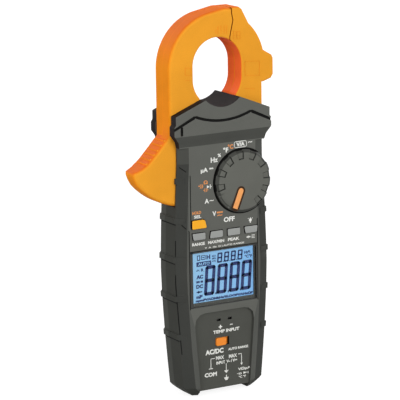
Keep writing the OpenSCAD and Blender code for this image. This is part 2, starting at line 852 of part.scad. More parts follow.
slide_travel = slot_len - slide_len - 0.4;
slide_plate = [4, 4, 4.2];
slide_t = 0.9;
module input_slider() {
  knob_x = slot_mid_x - slot_len / 2 + 0.2;
  plate_y = panel_in_y + 0.1;
  color("darkorange") {
    block([knob_x, knob_x + slide_len], [panel_face_y - 1.1, plate_y + 0.1],
      [slot_z - slot_h / 2 + 0.2, slot_z + slot_h / 2 - 0.2]);
    block([knob_x - slide_plate[0], knob_x + slide_len + slide_plate[1]],
      [plate_y, plate_y + slide_t * 0.6], [slot_z - slide_plate[2], slot_z + slide_plate[2]]);
  }
}

tc_back_y = -0.5;
module thermocouple_socket() {
  color("#2e2e2c") difference() {
    block([tc_x - tc_pitch / 2 - 4, tc_x + tc_pitch / 2 + 4], [panel_in_y + 0.05, tc_back_y],
      [tc_z - 4, tc_z + 4]);
    for (side = [-1, 1]) {
      x = tc_x + side * tc_pitch / 2;
      block([x - tc_slot[0] / 2, x + tc_slot[0] / 2], [-20, tc_back_y - 1],
        [tc_z - tc_slot[1] / 2, tc_z + tc_slot[1] / 2]);
    }
  }
}

module thermocouple_contacts() {
  color("silver") for (side = [-1, 1]) {
    x = tc_x + side * tc_pitch / 2;
    block([x - 1.3, x + 1.3], [panel_in_y + 0.8, tc_back_y - 1.02],
      [tc_z - tc_slot[1] / 2 + 0.02, tc_z - tc_slot[1] / 2 + 0.35]);
  }
}

housing_half_w = 18;
housing_low = wall + foot_lift + 0.1;
well_top = foot_lift + well_depth;
housing_top = well_top + 1.6;
sleeve_r = 3.6;
contact_r = 2.8;
contact_low = foot_lift + 3.5;
module jack_housing() {
  color("#2e2e2c") difference() {
    block([-housing_half_w, housing_half_w], [-6.6, 6.6], [housing_low, housing_top]);
    for (side = [-1, 1]) {
      difference() {
        rod_z(well_r, 0, well_top, side * jack_x, jack_y);
        rod_z(sleeve_r, contact_low, well_top + 1, side * jack_x, jack_y);
      }
      rod_z(contact_r + 0.02, 0, 40, side * jack_x, jack_y);
    }
  }
}

module jack_tube(side) {
  tab_z = housing_top + 0.1;
  color("goldenrod") {
    difference() {
      rod_z(contact_r, contact_low + 0.5, tab_z + 0.2, side * jack_x, jack_y);
      rod_z(jack_r, 0, housing_top - 1.2, side * jack_x, jack_y);
    }
    block([side * jack_x - 1.5, side * jack_x + 1.5], [board_back_y + 0.02, jack_y + 1],
      [tab_z, tab_z + 0.8]);
  }
}

module common_jack() { jack_tube(-1); }
module volt_jack() { jack_tube(1); }

// ---- circuit board ----

board_low = housing_top + 0.2;
board_step_z = pivot_z - 50;   // above this the board leaves room for the trigger
board_top = pivot_z - 18;
module main_board() {
  color("darkgreen") difference() {
    front_view(board_y, board_back_y) polygon([[-24, board_low], [24, board_low], [25.4, 60],
      [25.4, board_step_z], [25, board_top], [fixed_foot_x + 0.8, board_top],
      [fixed_foot_x + 0.8, board_step_z], [-25.4, board_step_z], [-25.4, 60]]);
    for (p = screw_places) rod_y(boss_r + 0.3, -20, 0, p[0], p[1]);
    block([tc_x - tc_pitch / 2 - 4.3, tc_x + tc_pitch / 2 + 4.3], [-20, 0], [tc_z - 4.3, tc_z + 4.3]);
  }
}

// each: [x, z, width, height, thickness]
chips = [[-9, 66, 12, 12, 1.6], [10, 74, 8, 5, 1.4], [12, 60, 6, 6, 1.2], [-10, 86, 9, 4, 1.4],
  [8, 88, 5, 5, 1.1], [14, 136, 7, 5, 1.4], [0, 30, 10, 5, 2.2]];
module board_parts() {
  color("#222222") for (c = chips) {
    block([c[0] - c[2] / 2, c[0] + c[2] / 2], [board_back_y + 0.02, board_back_y + c[4]],
      [c[1] - c[3] / 2, c[1] + c[3] / 2]);
  }
}

module sounder() {
  color("#222222") rod_y(6, board_back_y + 0.02, board_back_y + 4, 6, 103);
}

// ---- clamp ----

jaw_screw_places = [[-30.4, pivot_z + 17], [-42, pivot_z - 21]];
base_screw_places = [[27.5, pivot_z - 3], [8, pivot_z - 3]];
jaw_screw_r = 1.1;
jaw_head_r = 2.2;

module jaw_screw_holes(places) {
  for (p = places) {
    rod_y(jaw_screw_r + fit, -6, trigger_back_y + 3, p[0], p[1]);
    rod_y(jaw_head_r + 0.15, trigger_back_y - 1.6, 30, p[0], p[1]);
  }
}

module jaw_screw_set(places) {
  for (p = places) {
    rod_y(jaw_screw_r, -5.5, trigger_back_y - 1.5, p[0], p[1]);
    rod_y(jaw_head_r, trigger_back_y - 1.55, trigger_back_y - 0.3, p[0], p[1]);
  }
}

spring_r = 4.3;
wire_r = 0.55;
spring_turns = 4;
spring_half = 3;     // half of the room for the spring along the pin

// room in the hub for the spring, and for its two legs while the jaw swings
module spring_room() {
  rod_y(spring_r + wire_r + 0.35, -spring_half, spring_half, pivot_x, pivot_z);
  front_view(spring_half - 2.2, spring_half) polygon([
    [pivot_x, pivot_z - 3], [-8, pivot_z - 3], [-8, pivot_z - 17], [-14, pivot_z - 17],
    [-15, pivot_z - 9], [pivot_x, pivot_z - 5.6]]);
  front_view(-spring_half, -spring_half + 2.2) polygon([
    [pivot_x - 5.2, pivot_z], [pivot_x - 3.4, pivot_z], [pivot_x - 3.4, pivot_z - 13],
    [pivot_x - 5.2, pivot_z - 13]]);
}

module moving_jaw_half(y0, y1) {
  intersection() {
    difference() {
      union() {
        intersection() {
          union() {
            front_view(-jaw_half, jaw_half) clamp_outline();
            front_view(-jaw_half, jaw_half) hook_outline();
          }
          front_view(-jaw_half, jaw_half) moving_side();
        }
        trigger();
        rod_y(hub_r, -jaw_half, jaw_half, pivot_x, pivot_z);
        front_view(-jaw_half, jaw_half) polygon([[pivot_x, pivot_z + 6], [arm_x, pivot_z + 2],
          [arm_x, fixed_low], [-27.5, pivot_z - 35], [-30, pivot_z - 35],
          [-jaw_outer_r, pivot_z - 5], [-jaw_outer_r, pivot_z + 5]]);
      }
      front_view(-20, 20) window_outline();
      core_and_coil_pocket();
      rod_y(pivot_r + fit, -20, 20, pivot_x, pivot_z);
      spring_room();
      jaw_screw_holes(jaw_screw_places);
    }
    block([-90, 60], [y0, y1], clamp_z);
  }
}

module fixed_jaw_half(y0, y1) {
  intersection() {
    difference() {
      intersection() {
        union() {
          front_view(-jaw_half, jaw_half) clamp_outline();
          front_view(-jaw_half, jaw_half) hook_outline();
          front_view(-jaw_half, jaw_half) bump_outline();
        }
        front_view(-20, 20) fixed_side();
      }
      front_view(-20, 20) fixed_jaw_cuts();
      core_and_coil_pocket();
      for (p = peg_places) rod_y(peg_r + fit, -20, 20, p[0], p[1]);
      jaw_screw_holes(base_screw_places);
    }
    block([-90, 60], [y0, y1], clamp_z);
  }
}

module moving_jaw_front() { color(jaw_orange) moving_jaw_half(-20, 0); }
module moving_jaw_rear() { color(jaw_orange) moving_jaw_half(0, 20); }
module fixed_jaw_front() { color(jaw_orange) fixed_jaw_half(-20, 0); }
module fixed_jaw_rear() { color(jaw_orange) fixed_jaw_half(0, 20); }

module moving_core() {
  color("slategray") front_view(-core_t / 2, core_t / 2) intersection() {
    core_ring();
    translate([-0.05, 0]) moving_side();
  }
}

module fixed_core() {
  color("slategray") front_view(-core_t / 2, core_t / 2) difference() {
    core_ring();
    translate([gap + 0.05, 0]) moving_side();
  }
}

module coil() {
  coil_half = core_t / 2 + coil_t;
  difference() {
    front_view(-coil_half, coil_half) coil_area(0);
    front_view(-core_t / 2 - 0.05, core_t / 2 + 0.05) core_ring(0.05);
  }
}

module moving_coil() {
  color("peru") intersection() {
    coil();
    block([-60, 0], [-20, 20], clamp_z);
  }
}

module fixed_coil() {
  color("peru") intersection() {
    coil();
    block([0, 60], [-20, 20], clamp_z);
  }
}

pin_half = 11.8;
module jaw_pivot_pin() {
  color("silver") rod_y(pivot_r, -pin_half, pin_half, pivot_x, pivot_z);
}

// a tube of eight sides along a list of points that turn about the pivot pin
module wire(path, r) {
  n = 8;
  rings = [for (k = [0:len(path) - 1])
    let (a = path[max(0, k - 1)], b = path[min(len(path) - 1, k + 1)],
         t = (b - a) / norm(b - a),
         u = cross(t, [0, 1, 0]) / norm(cross(t, [0, 1, 0])), v = cross(t, u))
    for (i = [0:n - 1]) path[k] + r * (cos(i * 360 / n) * u + sin(i * 360 / n) * v)];
  last = len(path) - 1;
  polyhedron(
    points = rings,
    faces = concat(
      [[for (i = [n - 1:-1:0]) i]],
      [for (k = [0:last - 1]) for (i = [0:n - 1])
        let (j = (i + 1) % n) [k * n + i, k * n + j, (k + 1) * n + j, (k + 1) * n + i]],
      [[for (i = [0:n - 1]) last * n + i]]),
    convexity = 10);
}

// coil from the leg at the arm (left) round to the leg at the floor (below)
spring_step = 20;
function spring_point(a) =
  let (rise = (2 * spring_half - 2 * wire_r - 1) / (spring_turns * 360 + 90))
  [pivot_x - spring_r * cos(a), -spring_half + wire_r + 0.5 + rise * a, pivot_z - spring_r * sin(a)];
module jaw_spring() {
  whole = spring_turns * 360 + 90;
  first = spring_point(0);
  last = spring_point(whole);
  color("silver") wire(concat(
    [first - [0, 0, 12], first - [0, 0, 1]],
    [for (a = [0:spring_step:whole - 1]) spring_point(a)],
    [last, last + [11.2, 0, 0]]), wire_r);
}

module moving_jaw_screws() { color("silver") jaw_screw_set(jaw_screw_places); }
module fixed_jaw_screws() { color("silver") jaw_screw_set(base_screw_places); }

front_case();
rear_case();
front_grip_left();
front_grip_right();
display_window();
display_glass();
display_backlight();
display_frame();
contact_strips();
select_button();
range_button();
max_min_button();
peak_button();
light_button();
key_mat();
selector_knob();
selector_pointer();
selector_rotor();
rotor_wipers();
input_slider();
thermocouple_socket();
thermocouple_contacts();
fixed_jaw_front();
fixed_jaw_rear();
fixed_core();
fixed_coil();
moving_jaw_front();
moving_jaw_rear();
moving_core();
moving_coil();
jaw_pivot_pin();
jaw_spring();
moving_jaw_screws();
fixed_jaw_screws();
jack_housing();
common_jack();
volt_jack();
main_board();
board_parts();
sounder();
battery_door();
door_screw();
door_seal();
batteries();
battery_contacts();
case_screws();
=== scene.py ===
import math

import bmesh
import bpy
from mathutils import Matrix, Vector


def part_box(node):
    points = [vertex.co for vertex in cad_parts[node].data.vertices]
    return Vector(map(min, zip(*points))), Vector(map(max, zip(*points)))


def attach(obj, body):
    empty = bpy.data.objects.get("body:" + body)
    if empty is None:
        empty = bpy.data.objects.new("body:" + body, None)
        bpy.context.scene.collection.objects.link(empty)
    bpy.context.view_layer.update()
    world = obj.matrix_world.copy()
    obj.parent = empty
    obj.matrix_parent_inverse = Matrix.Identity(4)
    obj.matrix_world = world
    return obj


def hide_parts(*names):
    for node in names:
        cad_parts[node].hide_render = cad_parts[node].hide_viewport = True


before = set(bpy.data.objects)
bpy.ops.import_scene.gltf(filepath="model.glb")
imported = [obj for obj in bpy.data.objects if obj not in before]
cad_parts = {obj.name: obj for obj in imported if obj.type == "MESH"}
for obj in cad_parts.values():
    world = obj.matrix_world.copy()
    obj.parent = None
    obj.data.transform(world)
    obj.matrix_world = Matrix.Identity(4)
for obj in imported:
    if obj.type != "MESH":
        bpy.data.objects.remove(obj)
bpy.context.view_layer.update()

# ---------------------------------------------------------------------------
# Rear case. The back half of the housing, injection moulded in grey ABS, with
# cross ribs on its flanks, the back plate of the hand guard and the battery
# bay. The other pieces are screwed and clipped into it.

MM = 0.001


def linear(colour):
    """An sRGB hex colour as the linear RGBA that a shader socket takes."""
    channels = [int(colour[i:i + 2], 16) / 255 for i in (1, 3, 5)]
    return [c / 12.92 if c <= 0.04045 else ((c + 0.055) / 1.055) ** 2.4 for c in channels] + [1.0]


def fill(tree, node, inputs):
    """Gives a node's inputs their values, or links them to other nodes' outputs."""
    for key, value in inputs.items():
        socket = node.inputs[key]
        if isinstance(value, bpy.types.NodeSocket):
            tree.links.new(value, socket)
        else:
            socket.default_value = value


def add(tree, kind, inputs=None, **settings):
    """Adds a node to a material's tree, sets it up, and fills its inputs."""
    node = tree.nodes.new("ShaderNode" + kind)
    for key, value in settings.items():
        setattr(node, key, value)
    fill(tree, node, inputs or {})
    return node


def start_material(name):
    """A new material with one Principled BSDF, its tree and its object coordinates."""
    material = bpy.data.materials.new(name)
    material.use_nodes = True
    tree = material.node_tree
    place = add(tree, "TexCoord").outputs["Object"]
    return material, tree, tree.nodes["Principled BSDF"], place


def moulded(name, colour, roughness=0.5, grain_mm=0.45, grain_depth=0.04, tint=0.06, edge=0.12,
            painted_side_shade=None, shine=0.35, side_from=0.99, side_to=0.9, painted_top_shade=None):
    """Moulded plastic: spark-eroded grain from the tool, faint flow marks, and a painted
    highlight that makes the rounded edges a little lighter. The real grain is finer; it is
    drawn as coarse as it needs to show. The painted side shade is a deeper colour painted
    on the walls that face away from the front and back, and the painted top shade that of
    the walls that face upwards; both stand for the shade that falls there."""
    material, tree, surface, place = start_material(name)
    flow_mm, highlight_radius = 28, 0.7
    flow = add(tree, "TexNoise", {"Vector": place, "Scale": 1 / (flow_mm * MM), "Detail": 3.0,
                                  "Roughness": 0.55})
    grain = add(tree, "TexNoise", {"Vector": place, "Scale": 1 / (grain_mm * MM), "Detail": 2.0})
    # painted highlight: the rounded edges are made a little lighter
    rounded = add(tree, "Bevel", {"Radius": highlight_radius * MM}, samples=4)
    true_normal = add(tree, "NewGeometry").outputs["Normal"]
    turn = add(tree, "VectorMath", {0: rounded.outputs[0], 1: true_normal}, operation="DOT_PRODUCT")
    edge_highlight = add(tree, "MapRange", {"Value": turn.outputs["Value"], "From Min": 0.995,
                                  "From Max": 0.86, "To Min": 0.0, "To Max": edge})
    shade = add(tree, "MapRange", {"Value": flow.outputs[0], "From Min": 0.3, "From Max": 0.7,
                                   "To Min": 1 - tint, "To Max": 1 + tint})
    speck = add(tree, "MapRange", {"Value": grain.outputs[0], "From Min": 0.3, "From Max": 0.7,
                                   "To Min": 1 - tint * 0.7, "To Max": 1 + tint * 0.7})
    both = add(tree, "Math", {0: shade.outputs[0], 1: speck.outputs[0]}, operation="MULTIPLY")
    lit = add(tree, "Math", {0: both.outputs[0], 1: edge_highlight.outputs[0]}, operation="ADD")
    tone = linear(colour)[:3]
    # painted shade: the walls that turn away from the front and back, and those that face up, are
    # painted deeper colours
    if painted_side_shade:
        facing = add(tree, "SeparateXYZ", {0: add(tree, "TexCoord").outputs["Normal"]})
        flat = add(tree, "Math", {0: facing.outputs["Y"]}, operation="ABSOLUTE")
        front = add(tree, "MapRange", {"Value": flat.outputs[0], "From Min": side_to,
                                       "From Max": side_from})
        upward = add(tree, "MapRange", {"Value": facing.outputs["Z"], "From Min": 0.05,
                                        "From Max": 0.75})
        wall = add(tree, "Mix", {0: upward.outputs[0], 6: linear(painted_side_shade),
                                 7: linear(painted_top_shade or painted_side_shade)}, data_type="RGBA")
        tone = add(tree, "Mix", {0: front.outputs[0], 6: wall.outputs[2], 7: linear(colour)},
                   data_type="RGBA").outputs[2]
    body = add(tree, "VectorMath", {0: tone, "Scale": lit.outputs[0]}, operation="SCALE")
    gloss = add(tree, "MapRange", {"Value": grain.outputs[0], "From Min": 0.3, "From Max": 0.7,
                                   "To Min": roughness - 0.05, "To Max": roughness + 0.05})
    bump = add(tree, "Bump", {"Height": grain.outputs[0], "Strength": 0.5,
                              "Distance": grain_depth * MM})
    fill(tree, surface, {"Base Color": body.outputs[0], "Roughness": gloss.outputs[0],
                         "Normal": bump.outputs[0], "IOR": 1.5, "Specular IOR Level": shine})
    return material


def solid_of(node):
    """A copy of a CAD solid in millimetres: one closed mesh with whole flat faces."""
    mesh = bmesh.new()
    mesh.from_mesh(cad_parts[node].data)
    mesh.transform(Matrix.Scale(1 / MM, 4))
    bmesh.ops.remove_doubles(mesh, verts=mesh.verts, dist=0.001)
    bmesh.ops.dissolve_limit(mesh, angle_limit=math.radians(0.5), verts=mesh.verts,
                             edges=mesh.edges)
    return mesh


def soften(mesh, radius, where=None, steps=2, sharper_than=18, clamp=True):
    """Rounds the sharp edges whose middle lies where the rule says."""
    edges = []
    for edge in mesh.edges:
        if len(edge.link_faces) == 2 and edge.calc_face_angle(0) > math.radians(sharper_than):
            middle = (edge.verts[0].co + edge.verts[1].co) / 2
            if where is None or where(middle, edge):
                edges.append(edge)
    bmesh.ops.bevel(mesh, geom=edges, offset=radius, offset_type="OFFSET", affect="EDGES",
                    segments=steps, profile=0.5, material=-1, clamp_overlap=clamp, loop_slide=True)


def finish_piece(name, mesh, body, slot, materials, *nodes, choose=None):
    """Turns a mesh in millimetres into a smooth-shaded piece that rides on its body.
    The choose rule says which of the materials a face gets, from its middle and normal."""
    if choose:
        mesh.normal_update()
        for face in mesh.faces:
            face.material_index = materials.index(choose(face.calc_center_median(), face.normal))
    mesh.transform(Matrix.Scale(MM, 4))
    data = bpy.data.meshes.new(name)
    mesh.to_mesh(data)
    mesh.free()
    for face in data.polygons:
        face.use_smooth = True
    data.set_sharp_from_angle(angle=math.radians(50))
    for material in materials if isinstance(materials, list) else [materials]:
        data.materials.append(material)
    piece = bpy.data.objects.new(name, data)
    bpy.context.scene.collection.objects.link(piece)
    weigh = piece.modifiers.new("even_shading", "WEIGHTED_NORMAL")
    weigh.keep_sharp = True
    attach(piece, body)
    if nodes:
        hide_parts(*nodes)


def repaint(material, *nodes):
    """Gives CAD solids that stay as they are a better material."""
    for node in nodes:
        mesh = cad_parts[node].data
        mesh.materials.clear()
        mesh.materials.append(material)


# fine-textured matt grey, with painted shade: a deeper tone on the walls that turn away from the
# front
case_abs = moulded("grained_abs_mid_grey", "#5f605b", roughness=0.6, painted_side_shade="#454642",
                   shine=0.08)
# painted shade: grooves, gaps, sunk rings and the bands under the ribs are painted black, with no
# painted highlight on the edges
shade_black_abs = moulded("grained_abs_painted_shade_black", "#131312", roughness=0.8, edge=0.0, shine=0.1)
# painted shade: the same plastic on a slope is painted a shade darker than on the face
chamfer_shade_abs = moulded("grained_abs_chamfer_painted_shade", "#3d3e3b", roughness=0.7, shine=0.05)
# painted shade: the faces that crowd round the clamp are painted nearly black
dark_shade_abs = moulded("grained_abs_painted_shade_dark_grey", "#262323", roughness=0.75, edge=0.03, shine=0.05)

first_rib_z, rib_pitch = 39, 24.4
rib_z = [first_rib_z + rib_pitch * step for step in range(5)]
# the shade below a rib, measured down from the rib's middle
shade_low, shade_high = 2.9, 1.65
flank_x, flank_top_z = 22, 150
guard_foot_z, guard_top_z = 158, 172
case_edge, guard_edge = 0.35, 2.0


def on_chamfer(p, normal):
    """True on the slope between the front face and the side walls."""
    sloped = normal.y < -0.8 and 0.25 < abs(normal.x) < 0.6
    return sloped and abs(p.x) > flank_x and p.z < flank_top_z


def cut_under_ribs(mesh):
    """Parts off the narrow band of wall that lies in the shade below each cross rib."""
    for z in rib_z:
        bmesh.ops.bisect_plane(mesh, geom=mesh.verts[:] + mesh.edges[:] + mesh.faces[:],
                               plane_co=(0, 0, z - shade_low), plane_no=(0, 0, 1))


def under_rib(p, normal):
    """True on the lower flank of a cross rib and on the band of wall below it."""
    band = abs(normal.x) > 0.5 and any(z - shade_low < p.z < z - shade_high for z in rib_z)
    return abs(p.x) > flank_x and 20 < p.z < flank_top_z and (normal.z < -0.5 or band)


def rear_tone(p, normal):
    """Painted shade: black below the ribs, and darker on the guard's top, its cradle and its left
    end.
    """
    if under_rib(p, normal):
        return shade_black_abs
    top = p.z > guard_top_z and normal.z > 0.25
    left_end = p.z > guard_foot_z and p.x < -32.3 and normal.x < -0.2
    return dark_shade_abs if top or left_end else case_abs


case_mesh = solid_of("rear_case")
soften(case_mesh, guard_edge, lambda p, e: p.y > 15 and p.z > guard_foot_z and abs(p.x) > 31,
       steps=4)
soften(case_mesh, case_edge, lambda p, e: (p.y > 15 or abs(p.x) > 24 or p.z < 4)
       and p.z < guard_foot_z - 1)
cut_under_ribs(case_mesh)
finish_piece("rear_case_shell", case_mesh, "case", "case_plastic",
             [case_abs, shade_black_abs, dark_shade_abs], "rear_case", choose=rear_tone)

# ---------------------------------------------------------------------------
# Circuit board, its components and the sounder. Glass fibre board with a green
# solder mask over its copper tracks; moulded epoxy packages are soldered to its
# face, and a black disc in the corner makes the beep.

board_mask, tree, surface, place = start_material("glass_epoxy_green_solder_mask")
# copper tracks show through the mask as lighter lines, drawn as bricks about 2 mm high,
# coarser than the real ones; the glass weave is drawn 1.2 mm wide
upright = add(tree, "Mapping", {0: place, "Rotation": (math.pi / 2, 0, 0)}).outputs[0]
tracks = add(tree, "TexBrick", {"Vector": upright, "Scale": 1 / (9 * MM), "Mortar Size": 0.03,
                                "Color1": linear("#1f6b3c"), "Color2": linear("#1a5c34"),
                                "Mortar": linear("#3c8f55")})
weave = add(tree, "TexNoise", {"Vector": place, "Scale": 1 / (1.2 * MM), "Detail": 2.0})
mask_shade = add(tree, "MapRange", {"Value": weave.outputs[0], "To Min": 0.85, "To Max": 1.15})
mask_colour = add(tree, "VectorMath", {0: tracks.outputs[0], "Scale": mask_shade.outputs[0]},
                  operation="SCALE")
mask_bump = add(tree, "Bump", {"Height": tracks.outputs[1], "Strength": 0.4, "Distance": 0.05 * MM})
fill(tree, surface, {"Base Color": mask_colour.outputs[0], "Normal": mask_bump.outputs[0],
                     "Roughness": 0.35})
repaint(board_mask, "main_board")

# dull near-black blocks
package_epoxy = moulded("moulded_epoxy_package", "#242424", roughness=0.6, tint=0.1)
repaint(package_epoxy, "board_parts")
# black too, a little shinier than the packages
sounder_pps = moulded("moulded_pps_sounder", "#1d1e20", roughness=0.45, tint=0.08)
repaint(sounder_pps, "sounder")

# ---------------------------------------------------------------------------
# Display. A glass cell with a blue lit ground, clamped by a white frame on a
# light guide of acrylic and joined to the board by striped rubber strips. All
# its figures and marks are switched on, in dark blue.

lit_cell, tree, surface, place = start_material("liquid_crystal_glass_lit_blue")
# painted shade: the ground is painted darker and bluer towards the right, where the frame's shade
# falls
drift = add(tree, "TexNoise", {"Vector": place, "Scale": 1 / (22 * MM), "Detail": 1.0})
across = add(tree, "SeparateXYZ", {0: place})
cell_half = 22 * MM
right_shade = add(tree, "MapRange", {"Value": across.outputs["X"], "From Min": -cell_half,
                                  "From Max": cell_half, "To Min": 0.0, "To Max": 0.75})
blend = add(tree, "Math", {0: drift.outputs[0], 1: 0.5, 2: right_shade.outputs[0]},
            operation="MULTIPLY_ADD")
ground = add(tree, "Mix", {0: blend.outputs[0], 6: linear("#9accea"), 7: linear("#80bbf0")},
             data_type="RGBA")
fill(tree, surface, {"Base Color": ground.outputs[2], "Emission Color": ground.outputs[2],
                     "Emission Strength": 0.25, "Roughness": 0.25, "IOR": 1.52})
repaint(lit_cell, "display_glass")

guide_acrylic, tree, surface, place = start_material("moulded_acrylic_light_guide")
# white dots 1 mm apart on the back of the guide scatter the light
dots = add(tree, "TexVoronoi", {"Vector": place, "Scale": 1 / (1.0 * MM), "Randomness": 0.0})
dot_mask = add(tree, "MapRange", {"Value": dots.outputs[0], "From Min": 0.25, "From Max": 0.35})
guide_tone = add(tree, "Mix", {0: dot_mask.outputs[0], 6: linear("#f4f7fa"),
                               7: linear("#d5dfe6")}, data_type="RGBA")
fill(tree, surface, {"Base Color": guide_tone.outputs[2], "Roughness": 0.2, "IOR": 1.49})
repaint(guide_acrylic, "display_backlight")
# even opaque white, half gloss
frame_pc = moulded("moulded_white_polycarbonate", "#e4e4de", roughness=0.4, tint=0.03)
repaint(frame_pc, "display_frame", "selector_rotor")


def striped(name, pitch_mm, direction, low, high, roughness, metallic=0.0, wire_mm=0.0):
    """A stack of thin layers or wires, a set pitch apart, that alternate between two tones."""
    material, tree, surface, place = start_material(name)
    stripes = add(tree, "TexWave", {"Vector": place, "Scale": 2 * math.pi / (20 * pitch_mm * MM)},
                  bands_direction=direction)
    tone = add(tree, "Mix", {0: stripes.outputs[1], 6: linear(low), 7: linear(high)},
               data_type="RGBA")
    fill(tree, surface, {"Base Color": tone.outputs[2], "Metallic": metallic,
                         "Roughness": roughness})
    if wire_mm:
        bump = add(tree, "Bump", {"Height": stripes.outputs[1], "Strength": 0.6,
                                  "Distance": wire_mm * MM})
        fill(tree, surface, {"Normal": bump.outputs[0]})
    return material


# conducting and insulating layers alternate along the strip, drawn 0.5 mm apart
strip_rubber = striped("layered_silicone_contact_strip", 0.5, "X", "#d98fa0", "#3a3334",
                       roughness=0.7)
repaint(strip_rubber, "contact_strips")


def mottled(name, low, high, spot_mm, detail, roughness, smoothest=None, metallic=0.0,
            stretch=None):
    """A surface whose colour drifts between two close tones, in spots of a set size. Where
    the smoothest roughness is given, the gloss drifts with the colour."""
    material, tree, surface, place = start_material(name)
    if stretch:
        place = add(tree, "Mapping", {0: place, "Scale": stretch}).outputs[0]
    spots = add(tree, "TexNoise", {"Vector": place, "Scale": 1 / (spot_mm * MM), "Detail": detail})
    tone = add(tree, "Mix", {0: spots.outputs[0], 6: linear(low), 7: linear(high)},
               data_type="RGBA")
    fill(tree, surface, {"Base Color": tone.outputs[2], "Metallic": metallic,
                         "Roughness": roughness})
    if smoothest:
        gloss = add(tree, "MapRange", {"Value": spots.outputs[0], "To Min": smoothest,
                                       "To Max": roughness})
        fill(tree, surface, {"Roughness": gloss.outputs[0]})
    return material


def bar(mesh, start, end, width, y, thick=0.06):
    """A straight stroke between two points (x, z), standing on the face at y."""
    across, up = end[0] - start[0], end[1] - start[1]
    place = (Matrix.Translation(((start[0] + end[0]) / 2, y, (start[1] + end[1]) / 2))
             @ Matrix.Rotation(-math.atan2(up, across), 4, "Y")
             @ Matrix.Diagonal((math.hypot(across, up), thick, width, 1)))
    return bmesh.ops.create_cube(mesh, size=1, matrix=place)["verts"]


def path(mesh, points, width, y, thick=0.06):
    """A line of strokes through the points, each running on by half its width."""
    for start, end in zip(points, points[1:]):
        run = (Vector(end) - Vector(start)).normalized() * width / 2
        bar(mesh, Vector(start) - run, Vector(end) + run, width, y, thick)


def letters(mesh, text, x, z, tall, y, wide, bold=0.02, ink_spread=0.008):
    """Lettering centred on (x, z), as tall and as wide as given, on the face at y."""
    curve = bpy.data.curves.new("lettering", "FONT")
    curve.body = text
    curve.extrude = 0.03
    curve.resolution_u = 3
    curve.offset = bold + ink_spread
    holder = bpy.data.objects.new("lettering", curve)
    bpy.context.scene.collection.objects.link(holder)
    bpy.context.view_layer.update()
    glyphs = holder.evaluated_get(bpy.context.evaluated_depsgraph_get()).to_mesh()
    low = [min(v.co[i] for v in glyphs.vertices) for i in (0, 1)]
    high = [max(v.co[i] for v in glyphs.vertices) for i in (0, 1)]
    rise, run = tall / (high[1] - low[1]), wide / (high[0] - low[0])
    known = len(mesh.verts)
    mesh.from_mesh(glyphs)
    mesh.verts.ensure_lookup_table()
    place = (Matrix.Translation((x, y, z)) @ Matrix.Rotation(math.pi / 2, 4, "X")
             @ Matrix.Diagonal((run, rise, 1, 1))
             @ Matrix.Translation((-(low[0] + high[0]) / 2, -(low[1] + high[1]) / 2, 0)))
    bmesh.ops.transform(mesh, matrix=place, verts=mesh.verts[known:])
    bpy.data.objects.remove(holder)


def figure(mesh, x, z, wide, tall, stroke, y, lean=0.08):
    """A seven segment figure with all its segments on, centred on (x, z)."""
    side, top = (wide - stroke) / 2, (tall - stroke) / 2
    cut, point = stroke * 0.08, stroke * 0.42
    known = len(mesh.verts)
    ends = [((-side, h), (side, h)) for h in (-top, 0, top)]
    ends += [((s, 0), (s, h)) for s in (-side, side) for h in (-top, top)]
    for start, end in ends:
        run = (Vector(end) - Vector(start)).normalized() * (stroke / 2 - cut)
        segment = bar(mesh, Vector(start) - run, Vector(end) + run, stroke - cut, y)
        corners = {e for v in segment for e in v.link_edges
                   if abs(e.verts[0].co.y - e.verts[1].co.y) > 0.05}
        bmesh.ops.bevel(mesh, geom=list(corners), offset=point, offset_type="OFFSET",
                        affect="EDGES", segments=1, profile=0.5, material=-1)
    mesh.verts.ensure_lookup_table()
    shift = Matrix(((1, 0, lean, x), (0, 1, 0, 0), (0, 0, 1, z), (0, 0, 0, 1)))
    bmesh.ops.transform(mesh, matrix=shift, verts=mesh.verts[known:])


cell_face_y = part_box("display_glass")[0][1] / MM
main_z, main_wide, main_tall, main_stroke = 72.3, 7.5, 19.0, 2.4
upper_z, upper_wide, upper_tall, upper_stroke = 85.7, 3.6, 6.4, 1.05
marks = bmesh.new()
for x in (-8.9, -0.1, 8.7, 17.3):
    figure(marks, x, main_z, main_wide, main_tall, main_stroke, cell_face_y)
for x in (-4.6, 4.2, 13.0):
    bar(marks, (x - 0.55, 63.5), (x + 0.55, 63.5), 1.2, cell_face_y)
for x in (-1.6, 3.25, 8.1, 12.95):
    figure(marks, x, upper_z, upper_wide, upper_tall, upper_stroke, cell_face_y)
for x in (0.8, 5.65, 10.5):
    bar(marks, (x - 0.3, 82.9), (x + 0.3, 82.9), 0.6, cell_face_y)
